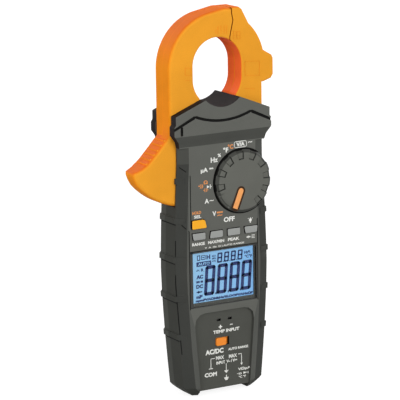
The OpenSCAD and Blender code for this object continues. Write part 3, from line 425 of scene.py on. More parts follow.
# the battery sign, the frame beside it, and the strokes down the left side
for low_x, low_z, high_x, high_z, stroke in ((-17.5, 85.9, -15.8, 88.7, 0.55),
                                             (-14.6, 86.1, -11.9, 88.5, 0.45)):
    path(marks, [(high_x, low_z), (low_x, low_z), (low_x, high_z), (high_x, high_z),
                 (high_x, low_z)], stroke, cell_face_y)
for low_x, high_x, z, stroke in ((-14.0, -12.5, 87.3, 0.6), (-18.2, -7.7, 83.3, 2.9),
                                 (-18.5, -16.1, 72.3, 1.3), (-15.5, -13.7, 72.3, 1.3),
                                 (-18.4, -14.4, 65.9, 0.7)):
    bar(marks, (low_x, z), (high_x, z), stroke, cell_face_y)
for z, word in ((87.3, "MAX"), (85.7, "MIN"), (84.1, "AVG")):
    letters(marks, word, -5.7, z, 1.15, cell_face_y, 2.7)
for text, x, z, tall, wide, bold in (
        ("H", -9.7, 87.2, 2.8, 2.7, 0.05), ("Hz%", 18.2, 86.6, 1.9, 4.4, 0.04),
        ("°C°F", 18.9, 84.0, 2.0, 5.4, 0.04), ("→", -17.2, 79.4, 1.9, 2.6, 0.06),
        ("R", -14.1, 79.6, 2.0, 1.8, 0.05), ("AC", -16.0, 75.4, 2.5, 4.8, 0.06),
        ("DC", -16.2, 69.4, 2.5, 4.8, 0.06), ("▶", -16.4, 65.9, 2.0, 2.0, 0.02),
        ("nF", -16.4, 62.9, 2.2, 4.4, 0.06),
        ("nµmFVAΩMkHz%LOOPVAHzΩF", 1.4, 60.4, 2.0, 41, 0.07)):
    letters(marks, text, x, z, tall, cell_face_y, wide, bold)
# the driven crystal is slightly uneven over the cell
dark_dye = mottled("liquid_crystal_dye_dark_blue", "#062468", "#0e3278", spot_mm=6, detail=1.0,
                   roughness=0.3)
finish_piece("display_marks", marks, "case", "display_layers", dark_dye)
# one mark is the other way round: the lit ground shows as letters in a dark bar
held = bmesh.new()
letters(held, "AUTO", -12.9, 83.3, 1.7, cell_face_y - 0.05, 8.2)
finish_piece("display_held_mark", held, "case", "display_layers", lit_cell)

# ---------------------------------------------------------------------------
# Selector inside the case, and the keys. A moulded rotor carries three brass
# wipers over the board. Five hard caps press on a silicone mat; each cap is
# moulded in its own colour and held by a flange behind the front face.

# rolling leaves fine lines along the strip, drawn 0.6 mm apart
wiper_brass = mottled("stamped_spring_brass", "#b8914a", "#dcb468", spot_mm=0.6, detail=2.0,
                      roughness=0.42, smoothest=0.22, metallic=1.0, stretch=(1, 1, 0.1))
repaint(wiper_brass, "rotor_wipers", "common_jack", "volt_jack")
# rubbery light grey with hardly any shine
mat_silicone = moulded("moulded_silicone_key_mat", "#b9bab6", roughness=0.75, tint=0.04)
repaint(mat_silicone, "key_mat")

# smoother than the case, so the caps catch a soft light
key_grey = moulded("moulded_abs_key_light_grey", "#949693", roughness=0.55, grain_mm=0.5, tint=0.05)
key_orange = moulded("moulded_abs_key_orange", "#f6ab14", roughness=0.5, grain_mm=0.5, tint=0.04)
corner_radius, rim_radius = 0.7, 0.35


def depth_of(edge):
    """How far an edge runs from front to back."""
    return abs(edge.verts[0].co.y - edge.verts[1].co.y)


for name in ("select", "range", "max_min", "peak", "light"):
    node, body = name + "_button", name + "_key"
    plastic, slot = (key_orange, "key_orange") if name == "select" else (key_grey, "key_grey")
    cap = solid_of(node)
    soften(cap, corner_radius, lambda p, e: depth_of(e) > 1 and p.y < -11.5, steps=3)
    soften(cap, rim_radius, lambda p, e: p.y < -13.5, steps=3, sharper_than=40)
    # painted shade: the skirt of the cap is painted dark, as it lies in the shade of its hole
    finish_piece(body + "_cap", cap, body, slot, [plastic, dark_shade_abs], node,
                 choose=lambda p, normal: dark_shade_abs if abs(normal.y) < 0.6 else plastic)

# ---------------------------------------------------------------------------
# Inputs at the foot. A black moulded housing holds the two brass test lead
# jacks in deep wells; the socket of the temperature probe has two flat slots
# with plated contacts; an orange slider opens one set of inputs at a time.

# plain black, faintly grained
black_pbt = moulded("moulded_pbt_black", "#222222", roughness=0.5, tint=0.08)
repaint(black_pbt, "jack_housing", "thermocouple_socket")

# tumbling before plating leaves faint cloudy wear about 2 mm across
plated_steel = mottled("nickel_plated_steel", "#9b9a96", "#cfcdc8", spot_mm=2, detail=4.0,
                       roughness=0.4, smoothest=0.18, metallic=1.0)
repaint(plated_steel, "thermocouple_contacts", "jaw_pivot_pin", "jaw_spring",
        "moving_jaw_screws", "fixed_jaw_screws", "door_screw", "battery_contacts", "case_screws")

# waxy orange, a little shinier than the clamp
slide_pom = moulded("moulded_acetal_orange", "#f08a24", roughness=0.4, tint=0.04)
slide = solid_of("input_slider")
slide_corner, slide_rim = 0.9, 0.35
soften(slide, slide_corner, lambda p, e: depth_of(e) > 0.7
       and (p.y < -10.6 and e.verts[0].co.y < -12 or e.verts[1].co.y < -12), steps=3)
soften(slide, slide_rim, lambda p, e: p.y < -12.1, sharper_than=40)
finish_piece("slider_knob", slide, "slider", "slider_orange", slide_pom, "input_slider")

# ---------------------------------------------------------------------------
# Front case. The front half of the housing, moulded in the same grey ABS, with
# a raised hand guard, the sunk dial and the recessed foot panel. Its lettering
# is pad printed in white and orange ink.

knob_low, knob_high = (Vector(corner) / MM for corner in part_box("selector_knob"))
dial_x, dial_z = (knob_low.x + knob_high.x) / 2, (knob_low.z + knob_high.z) / 2
dial_well_r = 21.4
groove_low_z, groove_half = 162.5, 33.2
shoulder_low_z, shoulder_high_z = 156.5, 165
window_low_z, window_high_z, window_rim_half = 56.5, 92.6, 23.8
slots_low_z, slots_high_z, slots_half = 30, 48, 9
panel_top_z, panel_half = 54, 22
# the display's pane is flush with the case's face
pane_low, pane_high = (Vector(corner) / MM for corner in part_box("display_window"))
face_y, panel_y = pane_low.y, -11.2
# just behind the face: what lies deeper is a sunk face
sunk_y = -12.98
key_hole_edge = 0.5


def by_keys(p):
    """True round the key holes, whose edges are rounded apart from the rest."""
    return 96 < p.z < 113 and abs(p.x) < 24


def by_slots(p):
    """True round the probe's slots and the slider's opening, which keep their sharp edges."""
    return slots_low_z < p.z < slots_high_z and abs(p.x) < slots_half


def front_tone(p, normal):
    """Painted shade: black on the sunk faces of the dial ring, the guard's groove and the openings,
    dark on the guard's top, its cradle and its left end, and darker on the slope below the guard
    and on the chamfers. The foot panel is given a darker tone."""
    dial = math.hypot(p.x - dial_x, p.z - dial_z) < dial_well_r and -12.99 < p.y < -10 and p.z < 154
    groove = p.z > groove_low_z and -14.66 < p.y < -13.6 and abs(p.x) < groove_half
    wall = abs(normal.y) < 0.95
    key_row = 98.3 < p.z < 112.6 and abs(p.x) < 24.1 and sunk_y < p.y < -8 and wall
    window = (window_low_z < p.z < window_high_z and abs(p.x) < window_rim_half
              and sunk_y < p.y < -11.6 and wall)
    slots = by_slots(p) and -11.0 < p.y < -8 and abs(normal.y) < 0.5
    if dial or groove or key_row or window or slots:
        return shade_black_abs
    top = p.z > guard_top_z and normal.z > 0.25
    left_end = p.z > guard_foot_z - 3 and normal.x < -0.6 and p.y < -8
    if top or left_end:
        return dark_shade_abs
    if shoulder_low_z < p.z < shoulder_high_z and -0.5 < normal.z < -0.1 and p.y < -12:
        return shoulder_abs
    if on_chamfer(p, normal):
        return chamfer_shade_abs
    panel = p.z < panel_top_z and abs(p.x) < panel_half and p.y > -12.95 and normal.y < -0.9
    return panel_abs if panel else case_abs


# the foot panel is given a darker tone than the rest of the case's face, with the same grain
panel_abs = moulded("grained_abs_panel_darker", "#4d4e49", roughness=0.6, shine=0.08)
# the slope below the guard turns away from the light
shoulder_abs = moulded("grained_abs_shoulder", "#494a46", roughness=0.7, shine=0.05)
front_mesh = solid_of("front_case")
soften(front_mesh, case_edge, lambda p, e: (p.y < -10.9 or abs(p.x) > 24 or p.z < 4)
       and not by_keys(p) and not by_slots(p))
soften(front_mesh, key_hole_edge, lambda p, e: p.y < -12.9 and by_keys(p), steps=1)
finish_piece("front_case_shell", front_mesh, "case", "case_plastic",
             [case_abs, shade_black_abs, dark_shade_abs, panel_abs, shoulder_abs, chamfer_shade_abs],
             "front_case", choose=front_tone)

white = bmesh.new()
for text, x, z, tall, wide, bold in (
        ("OFF", 4.2, 109.6, 3.1, 7.8, 0.03), ("V", -6.3, 114.3, 3.0, 2.6, 0.03),
        ("A", -11.5, 122.7, 2.9, 2.9, 0.03), ("~", -8.1, 122.7, 0.9, 3.0, 0.03),
        ("µA", -12.9, 141.8, 3.4, 5.0, 0.03), ("⎓", -8.0, 142.6, 0.9, 2.8, 0.02),
        ("Hz", -5.8, 147.7, 3.1, 5.0, 0.03), ("%", -2.2, 150.1, 2.2, 2.4, 0.03),
        ("°F", 2.4, 152.9, 3.2, 3.6, 0.03), ("V/A", 12.9, 155.4, 2.6, 6.0, 0.04),
        ("~", 19.8, 156.0, 0.9, 2.9, 0.03), ("▶", -10.3, 131.5, 2.0, 1.9, 0.02),
        ("SEL", -18.1, 113.8, 1.9, 5.0, 0.03), ("RANGE", -17.8, 96.7, 1.9, 9.0, 0.03),
        ("MAX/MIN", -5.3, 96.7, 1.9, 11.4, 0.03), ("PEAK", 7.2, 96.8, 1.9, 8.2, 0.03),
        ("◀", 17.0, 96.7, 1.9, 1.8, 0.02),
        ("V  A  Hz  Ω | AUTO RANGE", 0.6, 93.5, 1.35, 28, 0.02)):
    letters(white, text, x, z, tall, face_y, wide, bold)
for text, x, z, tall, wide, bold in (
        ("+", -2.1, 41.9, 2.5, 2.5, 0.03), ("TEMP INPUT", 2.1, 39.0, 2.1, 18.8, 0.03),
        ("AC/DC", -6.6, 26.8, 3.2, 13.0, 0.04), ("AUTO RANGE", 10.5, 26.7, 1.6, 14.4, 0.03),
        ("MAX", -2.7, 22.3, 2.3, 5.8, 0.03), ("MAX", 6.6, 22.1, 2.3, 5.8, 0.03),
        ("INPUT  V~ / V⎓", 2.1, 19.1, 2.0, 15.0, 0.03), ("▼", 12.8, 15.9, 1.4, 1.7, 0.02),
        ("▼", 1.7, 12.6, 1.8, 3.2, 0.02), ("COM", -9.5, 12.4, 2.7, 8.8, 0.04),
        ("VΩµA", 14.8, 12.7, 2.1, 9.4, 0.03), ("•)) ▶|", 13.6, 9.9, 1.6, 8.2, 0.03),
        ("°C °F", 13.2, 7.7, 1.5, 5.2, 0.03), ("⏚", 1.7, 8.9, 3.4, 3.2, 0.03)):
    letters(white, text, x, z, tall, panel_y, wide, bold)
# the frame round the last sign of the dial
path(white, [(9.3, 153.5), (16.4, 153.5), (17.2, 154.2), (17.2, 156.5), (16.4, 157.2), (9.3, 157.2),
             (8.5, 156.5), (8.5, 154.2), (9.3, 153.5)], 0.45, face_y)
for start, end, width in (((-8.9, 131.6), (-8.9, 130.2), 0.5), ((-8.9, 132.9), (-8.9, 131.5), 0.5),
                          ((-8.8, 131.5), (-7.9, 131.5), 0.5), ((17.6, 96.7), (19.2, 96.7), 0.9),
                          ((19.3, 106.2), (19.3, 105.4), 0.9)):
    bar(white, start, end, width, face_y)
for rise in (-0.8, 0, 0.8):
    bar(white, (20.0, 96.7 + rise), (22.4, 96.7 + rise * 1.2), 0.35, face_y)
lamp_x, lamp_z, ink_thick = 19.3, 107.2, 0.03
lamp = Matrix.Translation((lamp_x, face_y, lamp_z)) @ Matrix.Rotation(math.pi / 2, 4, "X")
bulb = bmesh.ops.create_circle(white, cap_ends=True, segments=16, radius=1.05, matrix=lamp)
bmesh.ops.translate(white, verts=bulb["verts"], vec=(0, -ink_thick, 0))
for turn in (-1, 0, 1):
    bar(white, (lamp_x + turn * 1.2, 108.3 - abs(turn) * 0.3),
        (lamp_x + turn * 1.6, 108.9 - abs(turn) * 0.4), 0.3, face_y)
# the lines from the foot panel's signs to the jacks below
path(white, [(-6.7, 22.4), (-9.3, 22.4), (-9.3, 16.3)], 0.42, panel_y)
path(white, [(10.6, 22.6), (12.8, 22.6), (12.8, 16.6)], 0.42, panel_y)
for start, end, width in (((4.8, 42.4), (6.8, 42.4), 0.45), ((-10.8, 16.1), (-7.9, 16.1), 0.55),
                          ((1.7, 17.9), (1.7, 13.2), 0.42)):
    bar(white, start, end, width, panel_y)
# the pad lays the ink a little unevenly, and the grain shows through in places
ink_white = mottled("pad_printed_ink_white", "#d2d3cd", "#f4f4ee", spot_mm=0.8, detail=3.0,
                    roughness=0.5)
finish_piece("white_lettering", white, "case", "white_plastic", ink_white)

orange = bmesh.new()
for text, x, z, tall, wide, bold in (
        ("HOLD", -18.7, 116.3, 1.9, 6.2, 0.03), ("⎓", -2.4, 114.7, 1.0, 4.2, 0.02),
        ("~", -2.4, 112.9, 0.9, 3.6, 0.03), ("•))", -15.6, 132.3, 2.6, 3.4, 0.03),
        ("Ω", -12.1, 134.5, 2.3, 2.8, 0.03), ("°C", 5.8, 154.6, 2.9, 3.9, 0.03)):
    letters(orange, text, x, z, tall, face_y, wide, bold)
for start, end, width in (((-12.7, 128.6), (-12.7, 130.8), 0.5),
                          ((-11.5, 128.6), (-11.5, 130.8), 0.5),
                          ((-13.9, 129.7), (-12.8, 129.7), 0.45),
                          ((-11.4, 129.7), (-10.3, 129.7), 0.45)):
    bar(orange, start, end, width, face_y)
ink_orange = mottled("pad_printed_ink_orange", "#c87b3c", "#eb9a52", spot_mm=0.8, detail=3.0,
                     roughness=0.5)
finish_piece("orange_lettering", orange, "case", "key_orange", ink_orange)

# ---------------------------------------------------------------------------
# Display window. A flat pane of clear acrylic with polished edges, set flush
# in a pocket of the front case; a thin black line round it is painted shade.

clear_acrylic, tree, surface, place = start_material("polished_clear_acrylic")
# clear stock shows only its gloss, more at a glancing view, and faint wiping marks
sheen = add(tree, "Fresnel", {"IOR": 1.3})
wiped = add(tree, "TexNoise", {"Vector": place, "Scale": 1 / (9 * MM), "Detail": 5.0})
cover = add(tree, "Math", {0: sheen.outputs[0], 1: 0.8, 2: 0.02}, operation="MULTIPLY_ADD")
wiped_gloss = add(tree, "MapRange", {"Value": wiped.outputs[0], "To Min": 0.03, "To Max": 0.12})
fill(tree, surface, {"Base Color": linear("#3a4044"), "Roughness": wiped_gloss.outputs[0],
                     "Alpha": cover.outputs[0], "IOR": 1.49})
pane = solid_of("display_window")
soften(pane, 0.3, lambda p, e: p.y < -12.9)
finish_piece("display_pane", pane, "case", "window_clear", clear_acrylic, "display_window")

# painted shade: a thin black line round the pane stands for the shade in the gap at its edge,
# with wider black bands down its left side and across its top; the line is slightly uneven
gap_shade_black = mottled("black_painted_gap_shade", "#101012", "#23241f", spot_mm=1.5, detail=2.0,
                   roughness=0.6)
gap_lines = bmesh.new()
gap_lines_out = 0.1
window_half = pane_high.x + gap_lines_out
window_foot_z, window_head_z = pane_low.z - gap_lines_out, pane_high.z + gap_lines_out
path(gap_lines, [(-window_half, window_foot_z), (window_half, window_foot_z),
            (window_half, window_head_z), (-window_half, window_head_z)], 0.5, face_y)
bar(gap_lines, (-22.95, window_foot_z), (-22.95, window_head_z), 1.9, face_y)
bar(gap_lines, (-window_half, 91.7), (window_half, 91.7), 1.4, face_y)
finish_piece("window_gap_shade", gap_lines, "case", "black_plastic", gap_shade_black)

# ---------------------------------------------------------------------------
# Side grips. Soft dark elastomer moulded over both flanks of the front case,
# with cross ribs that stand proud and thin lines where the ribs run out over
# the chamfer to the rail beside the face.

# soft and dull, with hardly any shine; painted shade: a deeper tone on the walls that turn from the
# front
grip_tpe = moulded("soft_tpe_dark_grey", "#565753", roughness=0.75, painted_side_shade="#40413d",
                   shine=0.05)


def grip_tone(p, normal):
    """Painted shade: black below the ribs, and darker on the chamfer."""
    if under_rib(p, normal):
        return shade_black_abs
    return chamfer_shade_abs if on_chamfer(p, normal) else grip_tpe


for side in ("left", "right"):
    grip_mesh = solid_of("front_grip_" + side)
    soften(grip_mesh, 0.3)
    cut_under_ribs(grip_mesh)
    finish_piece("grip_" + side, grip_mesh, "case", "grip_plastic",
                 [grip_tpe, shade_black_abs, chamfer_shade_abs], "front_grip_" + side, choose=grip_tone)


def front_surface(x, z):
    """The Y of the case's face and its chamfer at a place on the front half."""
    waist_z, waist_half, chamfer_wide, chamfer_deep = 80, 32.7, 6.5, 3
    if z < waist_z:
        taper = 5.5 * ((waist_z - z) / waist_z) ** 1.5
    else:
        taper = 2.7 * min(1, (z - waist_z) / 67) ** 1.5
    out = max(0, abs(x) - (waist_half - taper - chamfer_wide))
    return face_y + out * chamfer_deep / chamfer_wide


# painted shade: thin black strips stand for the shade in the seams beside the grips and in the
# lines where the ribs run out
seam_shade_lines = bmesh.new()
for points in (((24.2, 56), (24.2, 107.5)), ((24.4, 107.5), (27.4, 110.7), (31.2, 114.6)),
               ((-24.2, 56), (-24.2, 105.2)), ((-24.2, 105.2), (-26.4, 107.3), (-28.6, 109.6)),
               ((-22.9, 107.0), (-22.9, 139.6)), ((-22.9, 139.6), (-25.8, 142.6), (-29.0, 145.2)),
               ((-29.2, 28), (-31.1, 50), (-32.6, 74), (-32.2, 100))):
    for start, end in zip(points, points[1:]):
        for v in bar(seam_shade_lines, start, end, 0.55, 0, 0.12):
            v.co.y += front_surface(v.co.x, v.co.z)
finish_piece("grip_seam_shade_lines", seam_shade_lines, "case", "grip_plastic", shade_black_abs)

# ---------------------------------------------------------------------------
# Selector knob. A wide disc turned by its rim, moulded in grey ABS, with nine
# shallow finger notches round the edge and an orange pointer pressed in.

knob_r, knob_face_y = (knob_high.x - knob_low.x) / 2, knob_low.y
knob_top_r, notch_in_r, bore_r, knob_foot_y = 18.3, 13.7, 4.02, -12.0
off_angle, place_angle, notch_half = 22.5, 30, 7.5
outline_wide, notch_deep, rim_dent = 0.55, 0.7, 0.97
flat_from, flat_to, flat_slope, flat_deep = 30, 70, 5, 0.9
knob = bmesh.new()
rim = [knob.verts.new((r, y, 0)) for r, y in (
    (0, knob_face_y), (notch_in_r, knob_face_y), (17.4, knob_face_y), (17.9, knob_face_y + 0.08),
    (knob_top_r, knob_face_y + 0.4), (19.1, -14.8), (19.6, -14.3), (knob_r, -13.9),
    (knob_r, knob_foot_y), (bore_r, knob_foot_y), (bore_r, knob_face_y + 1.8),
    (0, knob_face_y + 1.8))]
edges = [knob.edges.new(pair) for pair in zip(rim, rim[1:])]
bmesh.ops.spin(knob, geom=rim + edges, cent=(0, 0, 0), axis=(0, 1, 0), angle=2 * math.pi,
               steps=144, use_merge=True)
bmesh.ops.remove_doubles(knob, verts=knob.verts, dist=0.0005)
bmesh.ops.recalc_face_normals(knob, faces=knob.faces)


def turned(p):
    """The angle of a point about the dial, clockwise from straight down, in degrees."""
    return math.degrees(math.atan2(-p.x, -p.z)) % 360


# a low flat beside the pointer, then nine shallow outlined notches round the edge
for v in knob.verts:
    at = turned(v.co)
    if flat_from < at < flat_to and v.co.y < -15 and math.hypot(v.co.x, v.co.z) > 16:
        v.co.y += flat_deep * min(1, (at - flat_from) / flat_slope, (flat_to - at) / flat_slope)
outlines = []
for place_number in range(2, 11):
    middle = place_number * place_angle + off_angle
    notch = [f for f in knob.faces if f.calc_center_median().y < -14.9
             and notch_in_r < math.hypot(f.calc_center_median().x, f.calc_center_median().z)
             and abs(turned(f.calc_center_median()) - middle) < notch_half]
    outlines += bmesh.ops.inset_region(knob, faces=notch, thickness=outline_wide,
                                       depth=-notch_deep, use_boundary=True,
                                       use_even_offset=True)["faces"]
# the rim is dented a little at each notch
for v in knob.verts:
    from_gap = abs((turned(v.co) - off_angle) % place_angle - place_angle / 2)
    if math.hypot(v.co.x, v.co.z) > 18.9 and 75 < turned(v.co) < 330 and from_gap > 8.7:
        v.co.x, v.co.z = v.co.x * rim_dent, v.co.z * rim_dent
cap_slot, outline_slot, shaded_skirt_slot = range(3)
# painted shade: the knob's skirt is painted black as the shade of the dial's sunk ring
for face in knob.faces:
    face.material_index = shaded_skirt_slot if face.calc_center_median().y > -14.2 else cap_slot
for face in outlines:
    face.material_index = outline_slot
knob.transform(Matrix.Translation((dial_x, 0, dial_z)))
# a little smoother than the case, with painted shade: a deeper tone on its walls, and the outlines
# of the notches painted as thin dark lines
knob_abs = moulded("grained_abs_knob_grey", "#62635d", roughness=0.55, painted_side_shade="#42433f",
                   shine=0.1)
notch_shade_abs = moulded("grained_abs_notch_painted_shade", "#2c2d2a", roughness=0.7, edge=0.0, shine=0.1)
finish_piece("selector_dial", knob, "selector", "knob_plastic",
             [knob_abs, notch_shade_abs, shade_black_abs], "selector_knob")

# pale orange, smoother than the clamp
pointer_abs = moulded("pressed_in_abs_orange", "#efa05a", roughness=0.45, tint=0.05)
pointer = solid_of("selector_pointer")
soften(pointer, 0.25, lambda p, e: p.y < -16.0, steps=3)
finish_piece("selector_mark", pointer, "selector", "pointer_orange", pointer_abs,
             "selector_pointer")
# painted shade: a dark plate round the pointer stands for the shade in the gap it is pressed into,
# and shows as an outline round it
shade_plate = bmesh.new()
half, near, reach, shade_plate_thick = 3.0, 6.3, 17.6, 0.05
ends = bmesh.ops.create_circle(shade_plate, cap_ends=True, segments=32, radius=half,
                               matrix=Matrix.Rotation(math.pi / 2, 4, "X"))["verts"]
for v in ends:
    v.co.z -= near if v.co.z > 0.01 else reach - half * 0.4
raised = bmesh.ops.extrude_face_region(shade_plate, geom=list(shade_plate.faces))["geom"]
bmesh.ops.translate(shade_plate, verts=[g for g in raised if isinstance(g, bmesh.types.BMVert)],
                    vec=(0, -shade_plate_thick, 0))
bmesh.ops.recalc_face_normals(shade_plate, faces=shade_plate.faces)
shade_plate.transform(Matrix.Translation((dial_x, knob_face_y, dial_z))
               @ Matrix.Rotation(math.radians(off_angle), 4, "Y"))
# painted reflected light: the dark shade plate is painted brown, as if it took a little colour from
# the pointer
shade_plate_abs = moulded("grained_abs_pointer_shade_plate", "#3b2a1e", roughness=0.7, edge=0.0, shine=0.1)
finish_piece("pointer_shade_plate", shade_plate, "selector", "knob_plastic", shade_plate_abs)

# ---------------------------------------------------------------------------
# Clamp. Two hollow jaws of orange ABS, each of a front and a rear shell held by
# screws, close round the conductor. The left jaw swings on a pin and ends in
# the trigger. Each jaw holds half of the laminated core and its winding.

# satin amber, painted a redder orange on the walls that face sideways or up as painted shade; the
# gap between the jaws is painted as a thin brown line of shade, and the window's wall a deep
# orange, painted shade and reflected orange light
clamp_abs = moulded("satin_abs_orange", "#ec9f2e", roughness=0.6, shine=0.03, side_from=0.97,
                    side_to=0.45, painted_side_shade="#fa941f", painted_top_shade="#ee7420")
split_shade_abs = moulded("satin_abs_orange_split_shade", "#8a4310", roughness=0.7, edge=0.0, shine=0.03)
window_wall_shade_abs = moulded("satin_abs_orange_window_wall_shade", "#ff7030", roughness=0.6, shine=0.03)
window_low, window_high, window_wall, clear_of_wall = 197.0, 204.7, 17.5, 20
# the outer edges of the jaws lie beyond this Y, in front and behind
outer_y = 8.3
screw_places = ((-30.4, 184), (-42, 146))


def round_jaw(mesh, jaw):
    """Rounds a jaw's outer edges and its trigger well, and the edges round the window less.
    The step at the tip that keeps the two jaws apart is drawn out before that."""
    def from_window(p):
        return math.hypot(p.x, p.z - min(max(p.z, window_low), window_high))

    def from_screw(p):
        return min(math.hypot(p.x - x, p.z - z) for x, z in screw_places)

    for v in mesh.verts:
        if 10 < v.co.x < 11 and 238 < v.co.z < 238.6:
            v.co.z = 235.6
    if jaw == "moving":
        soften(mesh, 2.2, lambda p, e: p.y < -outer_y and p.x < 8 and (p.x < -28.6 or p.z > 222),
               steps=4, clamp=False)
        soften(mesh, 0.9, lambda p, e: p.y > outer_y and p.x < 8 and (p.x < -33 or p.z > 206)
               and from_window(p) > clear_of_wall and p.z > 163, steps=3)
        soften(mesh, 0.8, lambda p, e: p.y > 0.5 and p.x < -31 and p.z < 172 and from_screw(p) > 3)
    else:
        soften(mesh, 1.1, lambda p, e: abs(p.y) > outer_y and from_window(p) > clear_of_wall
               and p.z > 170 and p.x > 11.6, steps=3)
    soften(mesh, 0.8, lambda p, e: abs(p.y) > outer_y and p.z > 178
           and from_window(p) < window_wall, steps=3)
    soften(mesh, 0.25, lambda p, e: abs(p.y) < 0.2 and p.z > 180 and from_window(p) < window_wall,
           steps=1)
    # the edges where the jaws meet are chamfered, so that their painted shade line shows wider
    soften(mesh, 0.35, lambda p, e: abs(p.y) > outer_y and 8.5 < p.x < 11.8
           and 219.4 < p.z < 238.2, steps=1)


def jaw_tone(p, normal):
    """Painted shade: deep orange on the wall of the window, and a dark line where the two jaws
    meet.
    """
    if abs(normal.y) < 0.3 and abs(p.x) < 17.1 and 182 < p.z < 221.8:
        return window_wall_shade_abs
    meeting = 8.4 < p.x < 11.8 and p.z > 219
    return split_shade_abs if meeting and abs(normal.y) < 0.95 and abs(normal.x) > 0.3 else clamp_abs


for jaw, body in (("fixed", "case"), ("moving", "jaw")):
    for half in ("front", "rear"):
        node = jaw + "_jaw_" + half
        jaw_mesh = solid_of(node)
        round_jaw(jaw_mesh, jaw)
        finish_piece(node + "_shell", jaw_mesh, body, "clamp_plastic",
                     [clamp_abs, window_wall_shade_abs, split_shade_abs], node, choose=jaw_tone)

# the core is stacked front to back from strips 0.5 mm thick with dark oxide between
core_steel = striped("stacked_silicon_steel", 0.5, "Y", "#5b5d60", "#9a9da1", roughness=0.45,
                     metallic=1.0)
repaint(core_steel, "fixed_core", "moving_core")
# turns of wire lie side by side up the coil, drawn 0.6 mm apart
winding = striped("enamelled_copper_winding", 0.6, "Z", "#5a2410", "#c26a35", roughness=0.35,
                  metallic=0.6, wire_mm=0.2)
repaint(winding, "fixed_coil", "moving_coil")

# ribs across the trigger's thumb rest
ribs = bmesh.new()
rib_radius, rib_wide, rib_middle_y, rib_out = 0.8, 11.5, -1.2, 0.1
for x, z in ((-36.3, 161.8), (-38.9, 159.1), (-41.4, 156.3), (-43.9, 153.8), (-46.5, 151.1),
             (-49.2, 148.7)):
    lay_along_y = (Matrix.Translation((x + rib_out, rib_middle_y, z - rib_out))
                   @ Matrix.Rotation(math.pi / 2, 4, "X"))
    bmesh.ops.create_cone(ribs, cap_ends=True, segments=16, radius1=rib_radius,
                          radius2=rib_radius, depth=rib_wide, matrix=lay_along_y)
soften(ribs, 0.3, lambda p, e: abs(p.y - rib_middle_y) > rib_wide / 2 - 0.05)
finish_piece("trigger_ribs", ribs, "jaw", "clamp_plastic", clamp_abs)

# moulded marks on the jaws: a row of lines and small frames, standing a little proud,
# painted a shade deeper than the face as painted shade along their edges
mark_shade_abs = moulded("satin_abs_orange_mark_painted_shade", "#e69126", roughness=0.6, shine=0.03)
jaw_face_y, mark_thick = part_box("fixed_jaw_front")[0][1] / MM, 0.3
left_marks, right_marks = bmesh.new(), bmesh.new()
for low, high in (((-0.6, 224.2), (-1.0, 226.4)), ((0.5, 223.7), (0.8, 228.4)),
                  ((2.9, 223.6), (2.8, 228.8)), ((5.1, 223.4), (5.2, 228.5)),
                  ((6.8, 223.2), (6.9, 228.4)), ((-22.8, 197.6), (-18.8, 197.0))):
    bar(left_marks, low, high, 0.45, jaw_face_y, mark_thick)
path(left_marks, [(-22.6, 200.6), (-18.6, 200.2), (-18.6, 204.6), (-22.4, 205.0),
                  (-22.6, 200.6)], 0.4, jaw_face_y, mark_thick)
path(right_marks, [(11.5, 219.8), (16.2, 219.4), (16.2, 223.8), (11.5, 224.2), (11.5, 219.8)],
     0.4, jaw_face_y, mark_thick)
path(right_marks, [(19.6, 196.5), (29.6, 195.7), (29.8, 203.9), (29.0, 204.6), (19.9, 205.2),
                   (19.2, 204.4), (19.6, 196.5)], 0.4, jaw_face_y, mark_thick)
for start, end, width in (((13.8, 219.7), (13.9, 223.9), 0.4), ((11.6, 222.0), (16.1, 221.6), 0.4),
                          ((19.0, 188.6), (26.4, 187.6), 0.5)):
    bar(right_marks, start, end, width, jaw_face_y, mark_thick)
finish_piece("moving_jaw_marks", left_marks, "jaw", "clamp_plastic", mark_shade_abs)
finish_piece("fixed_jaw_marks", right_marks, "case", "clamp_plastic", mark_shade_abs)

# ---------------------------------------------------------------------------
# Battery bay in the back. Three cells in printed sleeves stand between sprung
# contacts. A moulded door closes the bay on a soft seal, held by one screw.

cell_sleeve, tree, surface, place = start_material("printed_shrink_sleeve_on_steel")
# a plain two-colour sleeve, dark below and pale above, with the steel button end showing
up = add(tree, "SeparateXYZ", {0: place})
cell_low, cell_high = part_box("batteries")[0][2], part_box("batteries")[1][2]
dark_part, colour_step, button_tall = 29.5 * MM, 0.5 * MM, 1.4 * MM
split = add(tree, "MapRange", {"Value": up.outputs["Z"], "From Min": cell_low + dark_part,
                               "From Max": cell_low + dark_part + colour_step})
cap_end = add(tree, "Math", {0: up.outputs["Z"], 1: cell_high - button_tall},
              operation="GREATER_THAN")
scuff = add(tree, "TexNoise", {"Vector": place, "Scale": 1 / (3 * MM), "Detail": 4.0})
sleeve = add(tree, "Mix", {0: split.outputs[0], 6: linear("#2b3038"), 7: linear("#c9a24a")},
             data_type="RGBA")
metal_end = add(tree, "Mix", {0: cap_end.outputs[0], 6: sleeve.outputs[2],
                              7: linear("#c8c8c4")}, data_type="RGBA")
sleeve_gloss = add(tree, "MapRange", {"Value": scuff.outputs[0], "To Min": 0.2, "To Max": 0.4})
fill(tree, surface, {"Base Color": metal_end.outputs[2], "Metallic": cap_end.outputs[0],
                     "Roughness": sleeve_gloss.outputs[0]})
repaint(cell_sleeve, "batteries")

# dark foam with coarse pores
seal_foam = moulded("closed_cell_foam_seal", "#2f3031", roughness=0.85, grain_mm=0.6,
                    grain_depth=0.15, tint=0.15)
repaint(seal_foam, "door_seal")

door_mesh = solid_of("battery_door")
soften(door_mesh, 0.5, lambda p, e: p.y > 17.5)
finish_piece("battery_cover", door_mesh, "door", "case_plastic", case_abs, "battery_door")

# ---------------------------------------------------------------------------
# Camera, floor and lights. The meter stands on its foot on a pale table in a
# white studio, under four broad soft lamps: front, left, right and rear.

